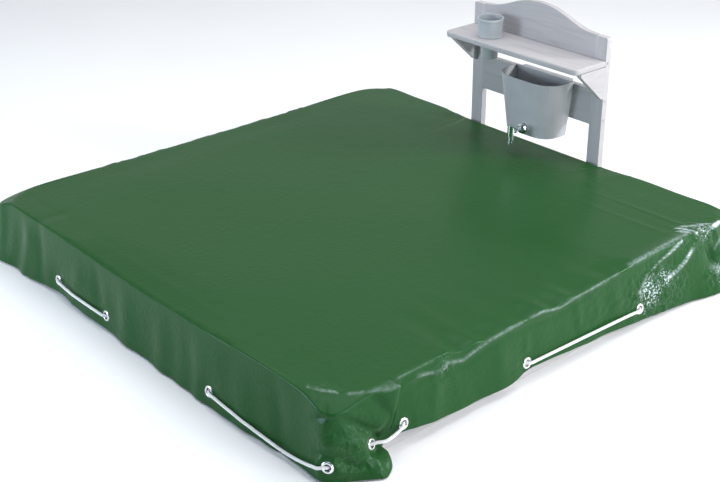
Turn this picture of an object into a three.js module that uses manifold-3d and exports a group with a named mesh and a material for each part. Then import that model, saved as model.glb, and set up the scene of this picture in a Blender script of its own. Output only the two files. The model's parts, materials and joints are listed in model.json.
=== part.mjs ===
// Square garden sandbox with a fitted cover and a play kitchen on its back wall.
//
// Millimetres. +Z is up, the ground is z = 0, and the origin is on the ground at the middle of the box.
// +Y points to the kitchen and +X to its right-hand side, seen from the front.

import * as THREE from 'three';
import { mergeVertices } from 'three/addons/utils/BufferGeometryUtils.js';
import Module from 'manifold-3d';

const wasm = await Module();
wasm.setup();

// ---------------------------------------------------------------- driving dimensions

const GAP = 0.3;                    // clearance left between pieces that touch

const WALL_OUT = 745;               // from the middle of the box to the outer face of a wall
const WALL_THICK = 20;
const WALL_TOP = 165;
const WALL_FOOT = 2;                // walls stand this far above the ground, the corner blocks carry them
const BLOCK_SIDE = 45;              // square corner block inside each corner
const SEAT_LEG = 330;               // short sides of the triangular corner seat
const SEAT_THICK = 22;
const SEAT_CUT = 34;                // blunted tips of the seat
const SEAT_ROUND = 150;             // where the seat's rounded outer corner starts

const POST_WIDTH = 46;
const POST_THICK = 21;
const POST_TOP = 590;
const POST_FOOT = 8;
const KITCHEN_WIDTH = 544;          // over the outer faces of both posts
const KITCHEN_X = -16;              // middle of the kitchen, a little left of the box's middle
const POST_FRONT = WALL_OUT + GAP;

const SHELF_TOP = 520;
const SHELF_THICK = 18;
const SHELF_DEPTH = 136;
const SHELF_CORNER = 22;
const CROWN_EDGE = 592;             // top of the back board beside the posts
const CROWN_PEAK = 643;
const CROWN_SHOULDER = 105;         // reach of the crown's curve at its peak
const CROWN_TOE = 90;               // and beside the posts
const BACK_BOARD_FOOT = 472;
const CROSS_TOP = 421;
const CROSS_FOOT = 309;
const BOARD_THICK = 18;
const BRACKET_THICK = 18;
const BRACKET_DEPTH = 110;
const BRACKET_DROP = 100;

const BOLT_Z = { low: 45, high: 125 };
const BOLT_RADIUS = 4;
const BOLT_LENGTH = 36;
const SIDE_SCREW_Z = { low: 330, middle: 392, top: 511 };
const SIDE_SCREW_Y = POST_FRONT + POST_THICK / 2;
const SIDE_SCREW_RADIUS = 2.5;
const SIDE_SCREW_LENGTH = 78;

const CUP_X = -152;
const CUP_Y = 676;
const CUP_RIM_RADIUS = 41;
const CUP_SHOULDER_RADIUS = 38.5;
const CUP_NECK_RADIUS = 32;
const CUP_FOOT_RADIUS = 26;
const CUP_RIM_Z = 580;
const CUP_FOOT_Z = 450;
const CUP_WALL = 2.5;

const TANK_X = 22;
const TANK_TOP = 427;
const TANK_FOOT = 246;
const TANK_HALF_WIDTH_TOP = 120;
const TANK_HALF_WIDTH_FOOT = 98;
const TANK_DEPTH_TOP = 110;
const TANK_DEPTH_FOOT = 91;
const TANK_WALL = 3;
const TANK_BACK = POST_FRONT - GAP;
const TANK_HOOK_DROP = 16;          // how far the hook reaches down behind the cross board
const TANK_SQUARENESS = 2 / 3.5;    // exponent of the plan outline, 1 is a true ellipse

const TAP_X = 30;
const TAP_Z = 270;
const TAP_AXIS_Y = 592;             // vertical axis of the spout
const TAP_BORE_RADIUS = 8;
const TAP_FLANGE_BACK = 647;        // faces of the tank's boss between the gasket and the nut
const TAP_NUT_FRONT = 663;
const TAP_NUT_THICK = 6;
const TAP_GASKET_THICK = 3;
const TAP_BOSS_RADIUS = 20;
const TAP_FLANGE_RADIUS = 18;
const TAP_FLANGE_HEIGHT = 12.5;
const TAP_STEM_RADIUS = 7;
const TAP_COLLAR_Y = 616;
const TAP_BARREL_RADIUS = 11;
const TAP_BARREL_TOP = 283;
const TAP_BARREL_FOOT = 259;
const TAP_SPOUT_RADIUS = 8;
const TAP_SPOUT_FOOT = 232;
const TAP_MOUTH_RADIUS = 5.5;
const LEVER_CAP_RADIUS = 10.5;
const LEVER_CAP_HEIGHT = 9;
const LEVER_REACH = 32;

const COVER_THICK = 3;
const COVER_TOP = 191;              // height of the sheet over the corner seats
const COVER_SEAT_REACH = 404;       // the sheet is level this far from the middle and beyond
const RIM_HALF = 738;               // the top panel's edge is a square of this half width
const RIM_CORNER = 85;              // with corners of this radius
const RIM_INSET = 12;               // and stays this far inside the crease line
const FOLD_Y = 350;                 // line about which the front of the cover is lifted
const EYELET_OUTER = 13.5;
const EYELET_INNER = 8.6;
const EYELET_THICK = 3.6;
const EYELET_ABOVE_HEM = 36;
const ELASTIC_RADIUS = 3.7;
const ELASTIC_CLEAR = 1.6;          // between the elastic and the sheet
const ELASTIC_INSIDE = 3;           // from the crease line outwards to the elastic inside the skirt
const ELASTIC_STEP = 34;            // between two points of the elastic's route

// ---------------------------------------------------------------- materials

const paint = (color, roughness, metalness = 0) =>
  new THREE.MeshStandardMaterial({ color, roughness, metalness });
const glazedWood = paint(0xb9bac2, 0.65);
const hiddenWood = paint(0xb4b5bc, 0.7);
const film = paint(0x2f6b3a, 0.35);
const plastic = paint(0x8e9ba6, 0.45);
const cupPlastic = paint(0x96a5af, 0.45);
const chrome = paint(0xc8ccd0, 0.12, 1);
const steel = paint(0xa9adb2, 0.35, 1);
const rubber = paint(0x33363a, 0.8);
const elasticWhite = paint(0xe9ebec, 0.8);

// ---------------------------------------------------------------- geometry helpers

function toManifold(geometry) {
  const bare = geometry.clone();
  bare.deleteAttribute('normal');
  bare.deleteAttribute('uv');
  const merged = mergeVertices(bare, 1e-4);
  return new wasm.Manifold(new wasm.Mesh({
    numProp: 3,
    vertProperties: Float32Array.from(merged.attributes.position.array),
    triVerts: Uint32Array.from(merged.index.array),
  }));
}

function toGeometry(manifold) {
  const mesh = manifold.getMesh();
  const geometry = new THREE.BufferGeometry();
  geometry.setAttribute('position', new THREE.BufferAttribute(mesh.vertProperties, 3));
  geometry.setIndex(new THREE.BufferAttribute(mesh.triVerts, 1));
  geometry.computeVertexNormals();
  return geometry;
}

const cut = (geometry, ...tools) =>
  toGeometry(tools.reduce((solid, tool) => solid.subtract(toManifold(tool)), toManifold(geometry)));
const join = (...parts) =>
  toGeometry(parts.slice(1).reduce((solid, part) => solid.add(toManifold(part)), toManifold(parts[0])));

// A box from its lowest to its highest corner.
function block(low, high) {
  const size = high.map((value, axis) => value - low[axis]);
  const middle = high.map((value, axis) => (value + low[axis]) / 2);
  return new THREE.BoxGeometry(...size).translate(...middle);
}

// Points of a profile to be turned, each as radius and height.
const lathe = (pairs) => pairs.map(([radius, height]) => new THREE.Vector2(radius, height));

// A cylinder about a line through `middle`, lying along the named axis.
function rod(radius, length, axis, middle, sides = 24) {
  const geometry = new THREE.CylinderGeometry(radius, radius, length, sides);
  if (axis === 'x') geometry.rotateZ(Math.PI / 2);
  if (axis === 'z') geometry.rotateX(Math.PI / 2);
  return geometry.translate(...middle);
}

// An outline in the XY plane, given a height along Z.
function plate(shape, bottom, top, curveSegments = 8) {
  return new THREE.ExtrudeGeometry(shape, { depth: top - bottom, bevelEnabled: false, curveSegments })
    .translate(0, 0, bottom);
}

// An outline in the XZ plane, given a thickness along Y.
function upright(shape, front, back, curveSegments = 8) {
  return new THREE.ExtrudeGeometry(shape, { depth: back - front, bevelEnabled: false, curveSegments })
    .rotateX(Math.PI / 2)
    .translate(0, back, 0);
}

// A closed solid from rings of points with equal counts, capped flat at the first and the last ring.
function loft(rings) {
  const count = rings[0].length;
  const positions = rings.flat().flatMap((p) => [p.x, p.y, p.z]);
  const triangles = [];
  for (let ring = 0; ring + 1 < rings.length; ring += 1) {
    for (let i = 0; i < count; i += 1) {
      const a = ring * count + i;
      const b = ring * count + (i + 1) % count;
      triangles.push(a, b, b + count, a, b + count, a + count);
    }
  }
  for (const [ring, flip] of [[0, true], [rings.length - 1, false]]) {
    const outline = rings[ring].map((p) => new THREE.Vector2(p.x, p.y));
    for (const [a, b, c] of THREE.ShapeUtils.triangulateShape(outline, [])) {
      const start = ring * count;
      if (flip) triangles.push(start + a, start + c, start + b);
      else triangles.push(start + a, start + b, start + c);
    }
  }
  const geometry = new THREE.BufferGeometry();
  geometry.setAttribute('position', new THREE.Float32BufferAttribute(positions, 3));
  geometry.setIndex(triangles);
  geometry.computeVertexNormals();
  return geometry;
}

const group = new THREE.Group();

function add(name, geometry, material) {
  const mesh = new THREE.Mesh(geometry, material);
  mesh.name = name;
  group.add(mesh);
  return mesh;
}

// ---------------------------------------------------------------- box

// The side walls run the full depth, the front and back walls fit between them.
function addWalls() {
  const inner = WALL_OUT - WALL_THICK;
  const top = WALL_TOP;
  add('wall_left', block([-WALL_OUT, -WALL_OUT, WALL_FOOT], [-inner, WALL_OUT, top]), hiddenWood);
  add('wall_right', block([inner, -WALL_OUT, WALL_FOOT], [WALL_OUT, WALL_OUT, top]), glazedWood);
  const half = inner - GAP;
  add('wall_front', block([-half, -WALL_OUT, WALL_FOOT], [half, -inner, top]), hiddenWood);
  const back = block([-half, inner, WALL_FOOT], [half, WALL_OUT, top]);
  add('wall_back', cut(back, ...boltHoles('post_left'), ...boltHoles('post_right')), hiddenWood);
}

const CORNERS = [['front_left', -1, -1], ['front_right', 1, -1], ['back_right', 1, 1], ['back_left', -1, 1]];

function addCornerBlocks() {
  const near = WALL_OUT - WALL_THICK - GAP;
  const far = near - BLOCK_SIDE;
  for (const [name, sx, sy] of CORNERS) {
    const xs = [sx * near, sx * far].sort((a, b) => a - b);
    const ys = [sy * near, sy * far].sort((a, b) => a - b);
    add(`corner_block_${name}`, block([xs[0], ys[0], 0], [xs[1], ys[1], WALL_TOP]), hiddenWood);
  }
}

// Triangular boards with a round outer corner on top of the walls, one in each corner. They carry the cover.
function addSeats() {
  const bottom = WALL_TOP + GAP;
  for (const [name, sx, sy] of CORNERS) {
    const at = (alongX, alongY) => [sx * (WALL_OUT - alongX), sy * (WALL_OUT - alongY)];
    const outline = new THREE.Shape();
    outline.moveTo(...at(0, SEAT_ROUND));
    outline.quadraticCurveTo(...at(0, 0), ...at(SEAT_ROUND, 0));
    outline.lineTo(...at(SEAT_LEG, 0));
    outline.lineTo(...at(SEAT_LEG, SEAT_CUT));
    outline.lineTo(...at(SEAT_CUT, SEAT_LEG));
    outline.lineTo(...at(0, SEAT_LEG));
    outline.closePath();
    add(`corner_seat_${name}`, plate(outline, bottom, bottom + SEAT_THICK), hiddenWood);
  }
}

// ---------------------------------------------------------------- play kitchen

const POST_LEFT = KITCHEN_X - KITCHEN_WIDTH / 2;
const POST_RIGHT = KITCHEN_X + KITCHEN_WIDTH / 2;
const BOARD_LEFT = POST_LEFT + POST_WIDTH + GAP;
const BOARD_RIGHT = POST_RIGHT - POST_WIDTH - GAP;

const BOLT_X = { post_left: POST_LEFT + POST_WIDTH / 2, post_right: POST_RIGHT - POST_WIDTH / 2 };

// Clearance holes for the coach screws of one post, through the post and into the wall.
function boltHoles(post) {
  const middle = POST_FRONT + POST_THICK + 3 - BOLT_LENGTH / 2;
  return Object.values(BOLT_Z).map((z) =>
    rod(BOLT_RADIUS + GAP, BOLT_LENGTH + 6, 'y', [BOLT_X[post], middle, z], 10));
}

// Clearance holes for the side screws of one post, through the post and into the board's end.
function sideHoles(post) {
  const inward = post === 'post_left' ? 1 : -1;
  const outer = post === 'post_left' ? POST_LEFT : POST_RIGHT;
  const middle = outer + inward * (SIDE_SCREW_LENGTH / 2 - 1);
  return Object.values(SIDE_SCREW_Z).map((z) =>
    rod(SIDE_SCREW_RADIUS + GAP, SIDE_SCREW_LENGTH + 2, 'x', [middle, SIDE_SCREW_Y, z], 8));
}

function addPosts() {
  const roundOver = 6;
  for (const [name, left] of [['post_left', POST_LEFT], ['post_right', POST_RIGHT - POST_WIDTH]]) {
    const right = left + POST_WIDTH;
    const outline = new THREE.Shape();
    outline.moveTo(left, POST_FOOT);
    outline.lineTo(right, POST_FOOT);
    outline.lineTo(right, POST_TOP - roundOver);
    outline.quadraticCurveTo(right, POST_TOP, right - roundOver, POST_TOP);
    outline.lineTo(left + roundOver, POST_TOP);
    outline.quadraticCurveTo(left, POST_TOP, left, POST_TOP - roundOver);
    outline.closePath();
    const board = upright(outline, POST_FRONT, POST_FRONT + POST_THICK, 4);
    add(name, cut(board, ...boltHoles(name), ...sideHoles(name)), glazedWood);
  }
}

// Board between the posts: straight foot, top edge rising in two S-curves to a crown in the middle.
function addBackBoard() {
  const outline = new THREE.Shape();
  outline.moveTo(BOARD_LEFT, BACK_BOARD_FOOT);
  outline.lineTo(BOARD_RIGHT, BACK_BOARD_FOOT);
  outline.lineTo(BOARD_RIGHT, CROWN_EDGE);
  outline.bezierCurveTo(
    BOARD_RIGHT - CROWN_TOE, CROWN_EDGE, KITCHEN_X + CROWN_SHOULDER, CROWN_PEAK, KITCHEN_X, CROWN_PEAK);
  outline.bezierCurveTo(
    KITCHEN_X - CROWN_SHOULDER, CROWN_PEAK, BOARD_LEFT + CROWN_TOE, CROWN_EDGE, BOARD_LEFT, CROWN_EDGE);
  outline.closePath();
  const board = upright(outline, POST_FRONT, POST_FRONT + BOARD_THICK);
  add('back_board', cut(board, ...sideHoles('post_left'), ...sideHoles('post_right')), glazedWood);
}

function addCrossBoard() {
  const low = [BOARD_LEFT, POST_FRONT, CROSS_FOOT];
  const high = [BOARD_RIGHT, POST_FRONT + BOARD_THICK, CROSS_TOP];
  add('cross_board', cut(block(low, high), ...sideHoles('post_left'), ...sideHoles('post_right')), glazedWood);
}

// The shelf butts against the front of the posts and has a round hole for the cup.
function addShelf() {
  const back = POST_FRONT - GAP;
  const front = back - SHELF_DEPTH;
  const outline = new THREE.Shape();
  outline.moveTo(POST_LEFT, back);
  outline.lineTo(POST_LEFT, front + SHELF_CORNER);
  outline.quadraticCurveTo(POST_LEFT, front, POST_LEFT + SHELF_CORNER, front);
  outline.lineTo(POST_RIGHT - SHELF_CORNER, front);
  outline.quadraticCurveTo(POST_RIGHT, front, POST_RIGHT, front + SHELF_CORNER);
  outline.lineTo(POST_RIGHT, back);
  outline.closePath();
  const bevel = 4;
  const board = new THREE.ExtrudeGeometry(outline, {
    depth: SHELF_THICK - 2 * bevel,
    bevelEnabled: true,
    bevelThickness: bevel,
    bevelSize: bevel,
    bevelOffset: -bevel,
    bevelSegments: 2,
    curveSegments: 6,
  }).translate(0, 0, SHELF_TOP - SHELF_THICK + bevel);
  const hole = rod(CUP_NECK_RADIUS + 1.5, 60, 'z', [CUP_X, CUP_Y, SHELF_TOP - SHELF_THICK / 2], 28);
  add('shelf', cut(board, hole), glazedWood);
}

function addBrackets() {
  const top = SHELF_TOP - SHELF_THICK - GAP;
  const back = POST_FRONT - GAP;
  const outline = new THREE.Shape();      // first axis runs forward from the posts, second one up
  const blunt = 8;
  outline.moveTo(0, top - BRACKET_DROP);
  outline.lineTo(blunt, top - BRACKET_DROP);
  outline.lineTo(BRACKET_DEPTH, top - blunt);
  outline.lineTo(BRACKET_DEPTH, top);
  outline.lineTo(0, top);
  outline.closePath();
  for (const [name, left] of [['bracket_left', POST_LEFT], ['bracket_right', POST_RIGHT - BRACKET_THICK]]) {
    const solid = new THREE.ExtrudeGeometry(outline, { depth: BRACKET_THICK, bevelEnabled: false });
    // Outline axes become -Y and +Z, the extrusion runs along +X.
    const turn = new THREE.Matrix4().makeBasis(
      new THREE.Vector3(0, -1, 0), new THREE.Vector3(0, 0, 1), new THREE.Vector3(-1, 0, 0));
    solid.applyMatrix4(turn).translate(left + BRACKET_THICK, back, 0);
    add(name, solid, glazedWood);
  }
}

// Coach screws with domed heads that hold the posts on the back wall.
function addPostBolts() {
  const profile = lathe([[0, 0], [10, 0], [10, 1.5], [8, 4], [4, 5.6], [0, 6]]);
  const headBase = POST_FRONT + POST_THICK + GAP;
  for (const [side, x] of Object.entries(BOLT_X)) {
    for (const [level, z] of Object.entries(BOLT_Z)) {
      const head = new THREE.LatheGeometry(profile, 12).translate(x, headBase, z);
      const shank = rod(BOLT_RADIUS, BOLT_LENGTH, 'y', [x, headBase + 1 - BOLT_LENGTH / 2, z], 10);
      add(`${side}_bolt_${level}`, join(head, shank), steel);
    }
  }
}

// Screws through the outer edges of the posts into the ends of the boards between them.
function addSideScrews() {
  for (const [side, x, inward] of [['post_left', POST_LEFT, 1], ['post_right', POST_RIGHT, -1]]) {
    for (const [level, z] of Object.entries(SIDE_SCREW_Z)) {
      const head = rod(4, 1.6, 'x', [x - inward * (GAP + 0.8), SIDE_SCREW_Y, z], 12);
      const middle = x + inward * (SIDE_SCREW_LENGTH / 2 - 1);
      const shank = rod(SIDE_SCREW_RADIUS, SIDE_SCREW_LENGTH, 'x', [middle, SIDE_SCREW_Y, z], 8);
      add(`${side}_screw_${level}`, join(head, shank), steel);
    }
  }
}

// ---------------------------------------------------------------- cup and tank

// Cup with a shoulder that rests on the shelf and a narrower foot that passes through the hole.
function addCup() {
  const shoulderZ = SHELF_TOP + GAP;
  const neckZ = shoulderZ + 3;
  const inner = (radius) => radius - CUP_WALL;
  const profile = lathe([
    [0, CUP_FOOT_Z], [CUP_FOOT_RADIUS, CUP_FOOT_Z], [CUP_NECK_RADIUS, shoulderZ],
    [CUP_SHOULDER_RADIUS, shoulderZ], [CUP_RIM_RADIUS - 1, CUP_RIM_Z - 9],
    [CUP_RIM_RADIUS, CUP_RIM_Z - 9], [CUP_RIM_RADIUS, CUP_RIM_Z],
    [inner(CUP_RIM_RADIUS), CUP_RIM_Z], [inner(CUP_SHOULDER_RADIUS), neckZ],
    [inner(CUP_NECK_RADIUS), neckZ], [inner(CUP_FOOT_RADIUS), CUP_FOOT_Z + CUP_WALL],
    [0, CUP_FOOT_Z + CUP_WALL],
  ]);
  const cup = new THREE.LatheGeometry(profile, 28).rotateX(Math.PI / 2).translate(CUP_X, CUP_Y, 0);
  add('cup', cup, cupPlastic);
}

// Plan outline of the tank: flat back along X, front bowed as a squarish half ellipse.
function tankOutline(halfWidth, depth, z, inset = 0) {
  const steps = 24;
  const points = [];
  for (let i = 0; i <= steps; i += 1) {
    const angle = Math.PI * i / steps;
    const across = Math.sign(Math.cos(angle)) * Math.abs(Math.cos(angle)) ** TANK_SQUARENESS;
    const forward = Math.sin(angle) ** TANK_SQUARENESS;
    points.push(new THREE.Vector3(
      TANK_X - across * (halfWidth - inset),
      TANK_BACK - inset - forward * (depth - 2 * inset),
      z,
    ));
  }
  return points;
}

function addTank() {
  const floor = TANK_FOOT + TANK_WALL;
  const shell = loft([
    tankOutline(TANK_HALF_WIDTH_FOOT, TANK_DEPTH_FOOT, TANK_FOOT),
    tankOutline(TANK_HALF_WIDTH_TOP, TANK_DEPTH_TOP, TANK_TOP),
    tankOutline(TANK_HALF_WIDTH_TOP, TANK_DEPTH_TOP, TANK_TOP, TANK_WALL),
    tankOutline(TANK_HALF_WIDTH_FOOT, TANK_DEPTH_FOOT, floor, TANK_WALL),
  ]);
  // Hook that carries the tank on the cross board.
  const hookHalf = TANK_HALF_WIDTH_TOP - 22;
  const hookBottom = CROSS_TOP + GAP;
  const boardBack = POST_FRONT + BOARD_THICK;
  const hookEnd = [TANK_X + hookHalf, boardBack + GAP + TANK_WALL, TANK_TOP];
  const bridge = block([TANK_X - hookHalf, TANK_BACK - 1, hookBottom], hookEnd);
  const lip = block([TANK_X - hookHalf, boardBack + GAP, CROSS_TOP - TANK_HOOK_DROP], hookEnd);
  // Flat boss on the leaning front, faced on both sides for the tap's washers.
  const bossLength = TAP_NUT_FRONT - TAP_FLANGE_BACK - 2 * GAP;
  const bossMiddle = [TAP_X, (TAP_NUT_FRONT + TAP_FLANGE_BACK) / 2, TAP_Z];
  const boss = rod(TAP_BOSS_RADIUS, bossLength, 'y', bossMiddle, 20);
  const hole = rod(TAP_BORE_RADIUS, 40, 'y', bossMiddle, 16);
  add('tank', cut(join(shell, bridge, lip, boss), hole), plastic);
}

// ---------------------------------------------------------------- tap

function addTap() {
  const at = (y) => [TAP_X, y, TAP_Z];
  const onSpout = (z) => [TAP_X, TAP_AXIS_Y, z];
  const gasket = cut(
    rod(TAP_FLANGE_RADIUS - 1, TAP_GASKET_THICK, 'y', at(TAP_FLANGE_BACK - TAP_GASKET_THICK / 2), 20),
    rod(TAP_BORE_RADIUS, 20, 'y', at(TAP_FLANGE_BACK), 16),
  );
  add('tap_gasket', gasket, rubber);

  const flangeFront = TAP_FLANGE_BACK - TAP_GASKET_THICK - GAP;
  const stemBack = TAP_NUT_FRONT + 2 * TAP_NUT_THICK;
  const domeProfile = lathe([
    [0, 0], [TAP_FLANGE_RADIUS, 0], [TAP_FLANGE_RADIUS, 2], [15.5, 7], [10, 11], [0, TAP_FLANGE_HEIGHT],
  ]);
  const dome = new THREE.LatheGeometry(domeProfile, 20).rotateX(Math.PI).translate(TAP_X, flangeFront, TAP_Z);
  const stem = rod(TAP_STEM_RADIUS, stemBack - TAP_AXIS_Y, 'y', at((stemBack + TAP_AXIS_Y) / 2), 16);
  const collar = rod(TAP_STEM_RADIUS + 2.5, 10, 'y', at(TAP_COLLAR_Y), 6);
  const barrelMiddle = (TAP_BARREL_TOP + TAP_BARREL_FOOT) / 2;
  const barrel = rod(TAP_BARREL_RADIUS, TAP_BARREL_TOP - TAP_BARREL_FOOT, 'z', onSpout(barrelMiddle), 18);
  const spoutTop = TAP_Z + 2;
  const spoutMiddle = (spoutTop + TAP_SPOUT_FOOT) / 2;
  const spout = rod(TAP_SPOUT_RADIUS, spoutTop - TAP_SPOUT_FOOT, 'z', onSpout(spoutMiddle), 18);
  const spoutLip = rod(TAP_SPOUT_RADIUS + 1.3, 6, 'z', onSpout(TAP_SPOUT_FOOT + 3), 18);
  const mouth = rod(TAP_MOUTH_RADIUS, 34, 'z', onSpout(TAP_SPOUT_FOOT + 8), 12);
  add('tap_body', cut(join(dome, stem, collar, barrel, spout, spoutLip), mouth), chrome);

  const nut = cut(
    new THREE.CylinderGeometry(15, 15, TAP_NUT_THICK, 6)
      .translate(TAP_X, TAP_NUT_FRONT + TAP_NUT_THICK / 2, TAP_Z),
    rod(TAP_STEM_RADIUS + GAP, 20, 'y', at(TAP_NUT_FRONT), 16),
  );
  add('tap_nut', nut, chrome);

  // Lever: a round cap on the barrel with a flat arm, turned about the spout's axis.
  const capFoot = TAP_BARREL_TOP + GAP;
  const cap = rod(LEVER_CAP_RADIUS, LEVER_CAP_HEIGHT, 'z', onSpout(capFoot + LEVER_CAP_HEIGHT / 2), 18);
  const arm = new THREE.Shape();
  arm.moveTo(0, -4);
  arm.lineTo(LEVER_REACH - 6, -5.5);
  arm.quadraticCurveTo(LEVER_REACH, -5.5, LEVER_REACH, 0);
  arm.quadraticCurveTo(LEVER_REACH, 5.5, LEVER_REACH - 6, 5.5);
  arm.lineTo(0, 4);
  arm.closePath();
  const blade = plate(arm, capFoot + 4, capFoot + 8, 5).translate(TAP_X, TAP_AXIS_Y, 0);
  add('tap_lever', join(cap, blade), chrome);
}

// ---------------------------------------------------------------- cover

// The cover's edge is described by stations on its four sides. On each side `along` runs to the right as
// seen from outside and `out` is the distance from the middle of the box.
const SIDES = {
  front: (along, out, z) => new THREE.Vector3(along, -out, z),
  right: (along, out, z) => new THREE.Vector3(out, along, z),
  back: (along, out, z) => new THREE.Vector3(-along, out, z),
  left: (along, out, z) => new THREE.Vector3(-out, -along, z),
};

// Each station: crease [along, out, z], hem [along, out, z]. Between the posts at the back there is no skirt,
// and the hem lies on the wall's top edge.
const STATIONS = {
  front: [
    [[-744, 758, 172], [-744, 783, 5]],
    [[-690, 751, 191], [-680, 778, 5]], [[-560, 750, 191], [-560, 772, 5]],
    [[-404, 750, 191], [-420, 764, 12]], [[-290, 750, 185], [-290, 770, 8]],
    [[-158, 750, 181], [-158, 770, 8]], [[20, 750, 177], [20, 772, 5]],
    [[160, 750, 180], [180, 780, 5]], [[300, 750, 184], [333, 782, 5]],
    [[404, 750, 191], [500, 776, 5]], [[650, 751, 191], [664, 771, 5]],
    [[744, 758, 172], [762, 765, 8]], [[758, 744, 172], [812, 655, 5]],
  ],
  right: [
    [[-690, 751, 191], [-630, 776, 22]], [[-600, 751, 191], [-592, 774, 14]],
    [[-500, 751, 191], [-555, 772, 30]], [[-404, 753, 191], [-460, 772, 20]],
    [[-300, 753, 173], [-300, 772, 20]], [[-125, 754, 170], [-125, 770, 22]],
    [[80, 753, 172], [80, 774, 16]], [[300, 753, 178], [320, 774, 14]],
    [[404, 751, 191], [500, 786, 8]], [[650, 751, 191], [655, 812, 5]],
    [[744, 758, 172], [747, 785, 6]],
  ],
  back: [
    [[-744, 758, 172], [-742, 785, 6]],
    [[-690, 751, 191], [-680, 782, 6]], [[-560, 751, 191], [-560, 772, 8]],
    [[-404, 751, 191], [-420, 766, 12]], [[-325, 751, 184], [-322, 762, 14]],
    [[-291, 751, 183], [-294, 757, 60]], [[-279, 751, 182], [-280, 752, 168.5]],
    [[-266, 744, 180], [-266, 747, 169]], [[-250, 740, 178], [-250, 744.5, 169]],
    [[-120, 738, 176], [-120, 744, 169]], [[80, 738, 176], [80, 744, 169]],
    [[282, 740, 178], [282, 744.5, 169]], [[298, 744, 180], [298, 747, 169]],
    [[311, 751, 182], [312, 752, 168.5]], [[323, 751, 183], [326, 757, 60]],
    [[357, 751, 185], [354, 762, 14]], [[404, 751, 191], [430, 766, 12]],
    [[560, 751, 191], [560, 772, 8]], [[690, 751, 191], [680, 782, 6]],
    [[744, 758, 172], [740, 785, 6]],
  ],
  left: [
    [[-744, 758, 172], [-747, 785, 6]],
    [[-650, 751, 191], [-655, 812, 5]], [[-404, 751, 191], [-500, 786, 8]],
    [[-300, 750, 189], [-320, 774, 14]], [[-80, 750, 188], [-80, 774, 14]],
    [[125, 750, 188], [125, 770, 16]], [[300, 750, 189], [330, 772, 14]],
    [[404, 751, 191], [500, 780, 8]], [[650, 751, 191], [655, 812, 5]],
    [[744, 758, 172], [744, 785, 6]],
  ],
};

const stationPoints = (which) => Object.entries(STATIONS).flatMap(([side, stations]) =>
  stations.map((station) => SIDES[side](...station[which])));
const creaseCurve = new THREE.CatmullRomCurve3(stationPoints(0), true, 'centripetal');
const hemCurve = new THREE.CatmullRomCurve3(stationPoints(1), true, 'centripetal');

// A point on the outer face of the skirt: `turn` goes round the cover from 0 to 1, `drop` from the crease
// at 0 to the hem at 1.
const skirtPoint = (turn, drop) => creaseCurve.getPoint(turn).lerp(hemCurve.getPoint(turn), drop);

// Horizontal direction pointing out of the cover.
function skirtNormal(turn, drop) {
  const step = 0.0015;
  const tangent = skirtPoint((turn + step) % 1, drop).sub(skirtPoint((turn - step + 1) % 1, drop));
  return new THREE.Vector3(tangent.y, -tangent.x, 0).normalize();
}

// A ring round the cover, moved along its outward direction and up or down.
function skirtRing(drop, outward, lift, count) {
  return Array.from({ length: count }, (unused, i) => {
    const turn = i / count;
    return skirtPoint(turn, drop).addScaledVector(skirtNormal(turn, Math.max(drop, 0.2)), outward)
      .add(new THREE.Vector3(0, 0, lift));
  });
}

// The edge of the top panel, from which the sheet slopes down to the crease line at the corners.
function rimPoint(turn) {
  const crease = creaseCurve.getPoint(turn);
  const core = RIM_HALF - RIM_CORNER;
  const base = crease.clone().clamp(new THREE.Vector3(-core, -core, 0), new THREE.Vector3(core, core, 0));
  const away = crease.clone().sub(base).setZ(0);
  const overSeat = Math.min(Math.abs(crease.x), Math.abs(crease.y)) > COVER_SEAT_REACH;
  return base.add(away.setLength(Math.min(RIM_CORNER, away.length() - RIM_INSET)))
    .setZ(overSeat ? COVER_TOP : crease.z);
}

const rimRing = (lift, count) =>
  Array.from({ length: count }, (unused, i) => rimPoint(i / count).add(new THREE.Vector3(0, 0, lift)));

// A level ring of the top panel, drawn in towards the middle.
function topRing(scale, lift, count) {
  return Array.from({ length: count }, (unused, i) => {
    const rim = rimPoint(i / count);
    return new THREE.Vector3(rim.x * scale, rim.y * scale, COVER_TOP + lift);
  });
}

// The whole sheet as one closed solid: inner face from the middle out and down, then the outer face back up.
function coverSolid(count) {
  const inner = -COVER_THICK;
  return toManifold(loft([
    topRing(0.2, inner, count), topRing(0.75, inner, count), rimRing(inner, count),
    skirtRing(0, inner, inner, count), skirtRing(1, inner, 0, count),
    skirtRing(1, 0, 0, count), skirtRing(0.03, 0, 0, count), skirtRing(0, -1, 0, count),
    rimRing(0, count), topRing(0.75, 0, count), topRing(0.2, 0, count),
  ]));
}

// Eyelets by side and station, in the order in which the elastic meets them, from the back right corner
// clockwise to the back left corner.
const EYELETS = [
  ['back', 3], ['back', 1], ['right', 7], ['right', 5], ['right', 2], ['right', 0], ['front', 11], ['front', 8],
  ['front', 5], ['front', 3], ['left', 7], ['left', 6], ['left', 4], ['left', 2], ['back', 18], ['back', 16],
];

const CORNER_STRETCH = 5;           // this stretch crosses behind the flap of the front right corner

const STATION_TOTAL = Object.values(STATIONS).flat().length;

function stationTurn(side, index) {
  const names = Object.keys(STATIONS);
  const before = names.slice(0, names.indexOf(side)).reduce((sum, name) => sum + STATIONS[name].length, 0);
  return (before + index) / STATION_TOTAL;
}

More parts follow.
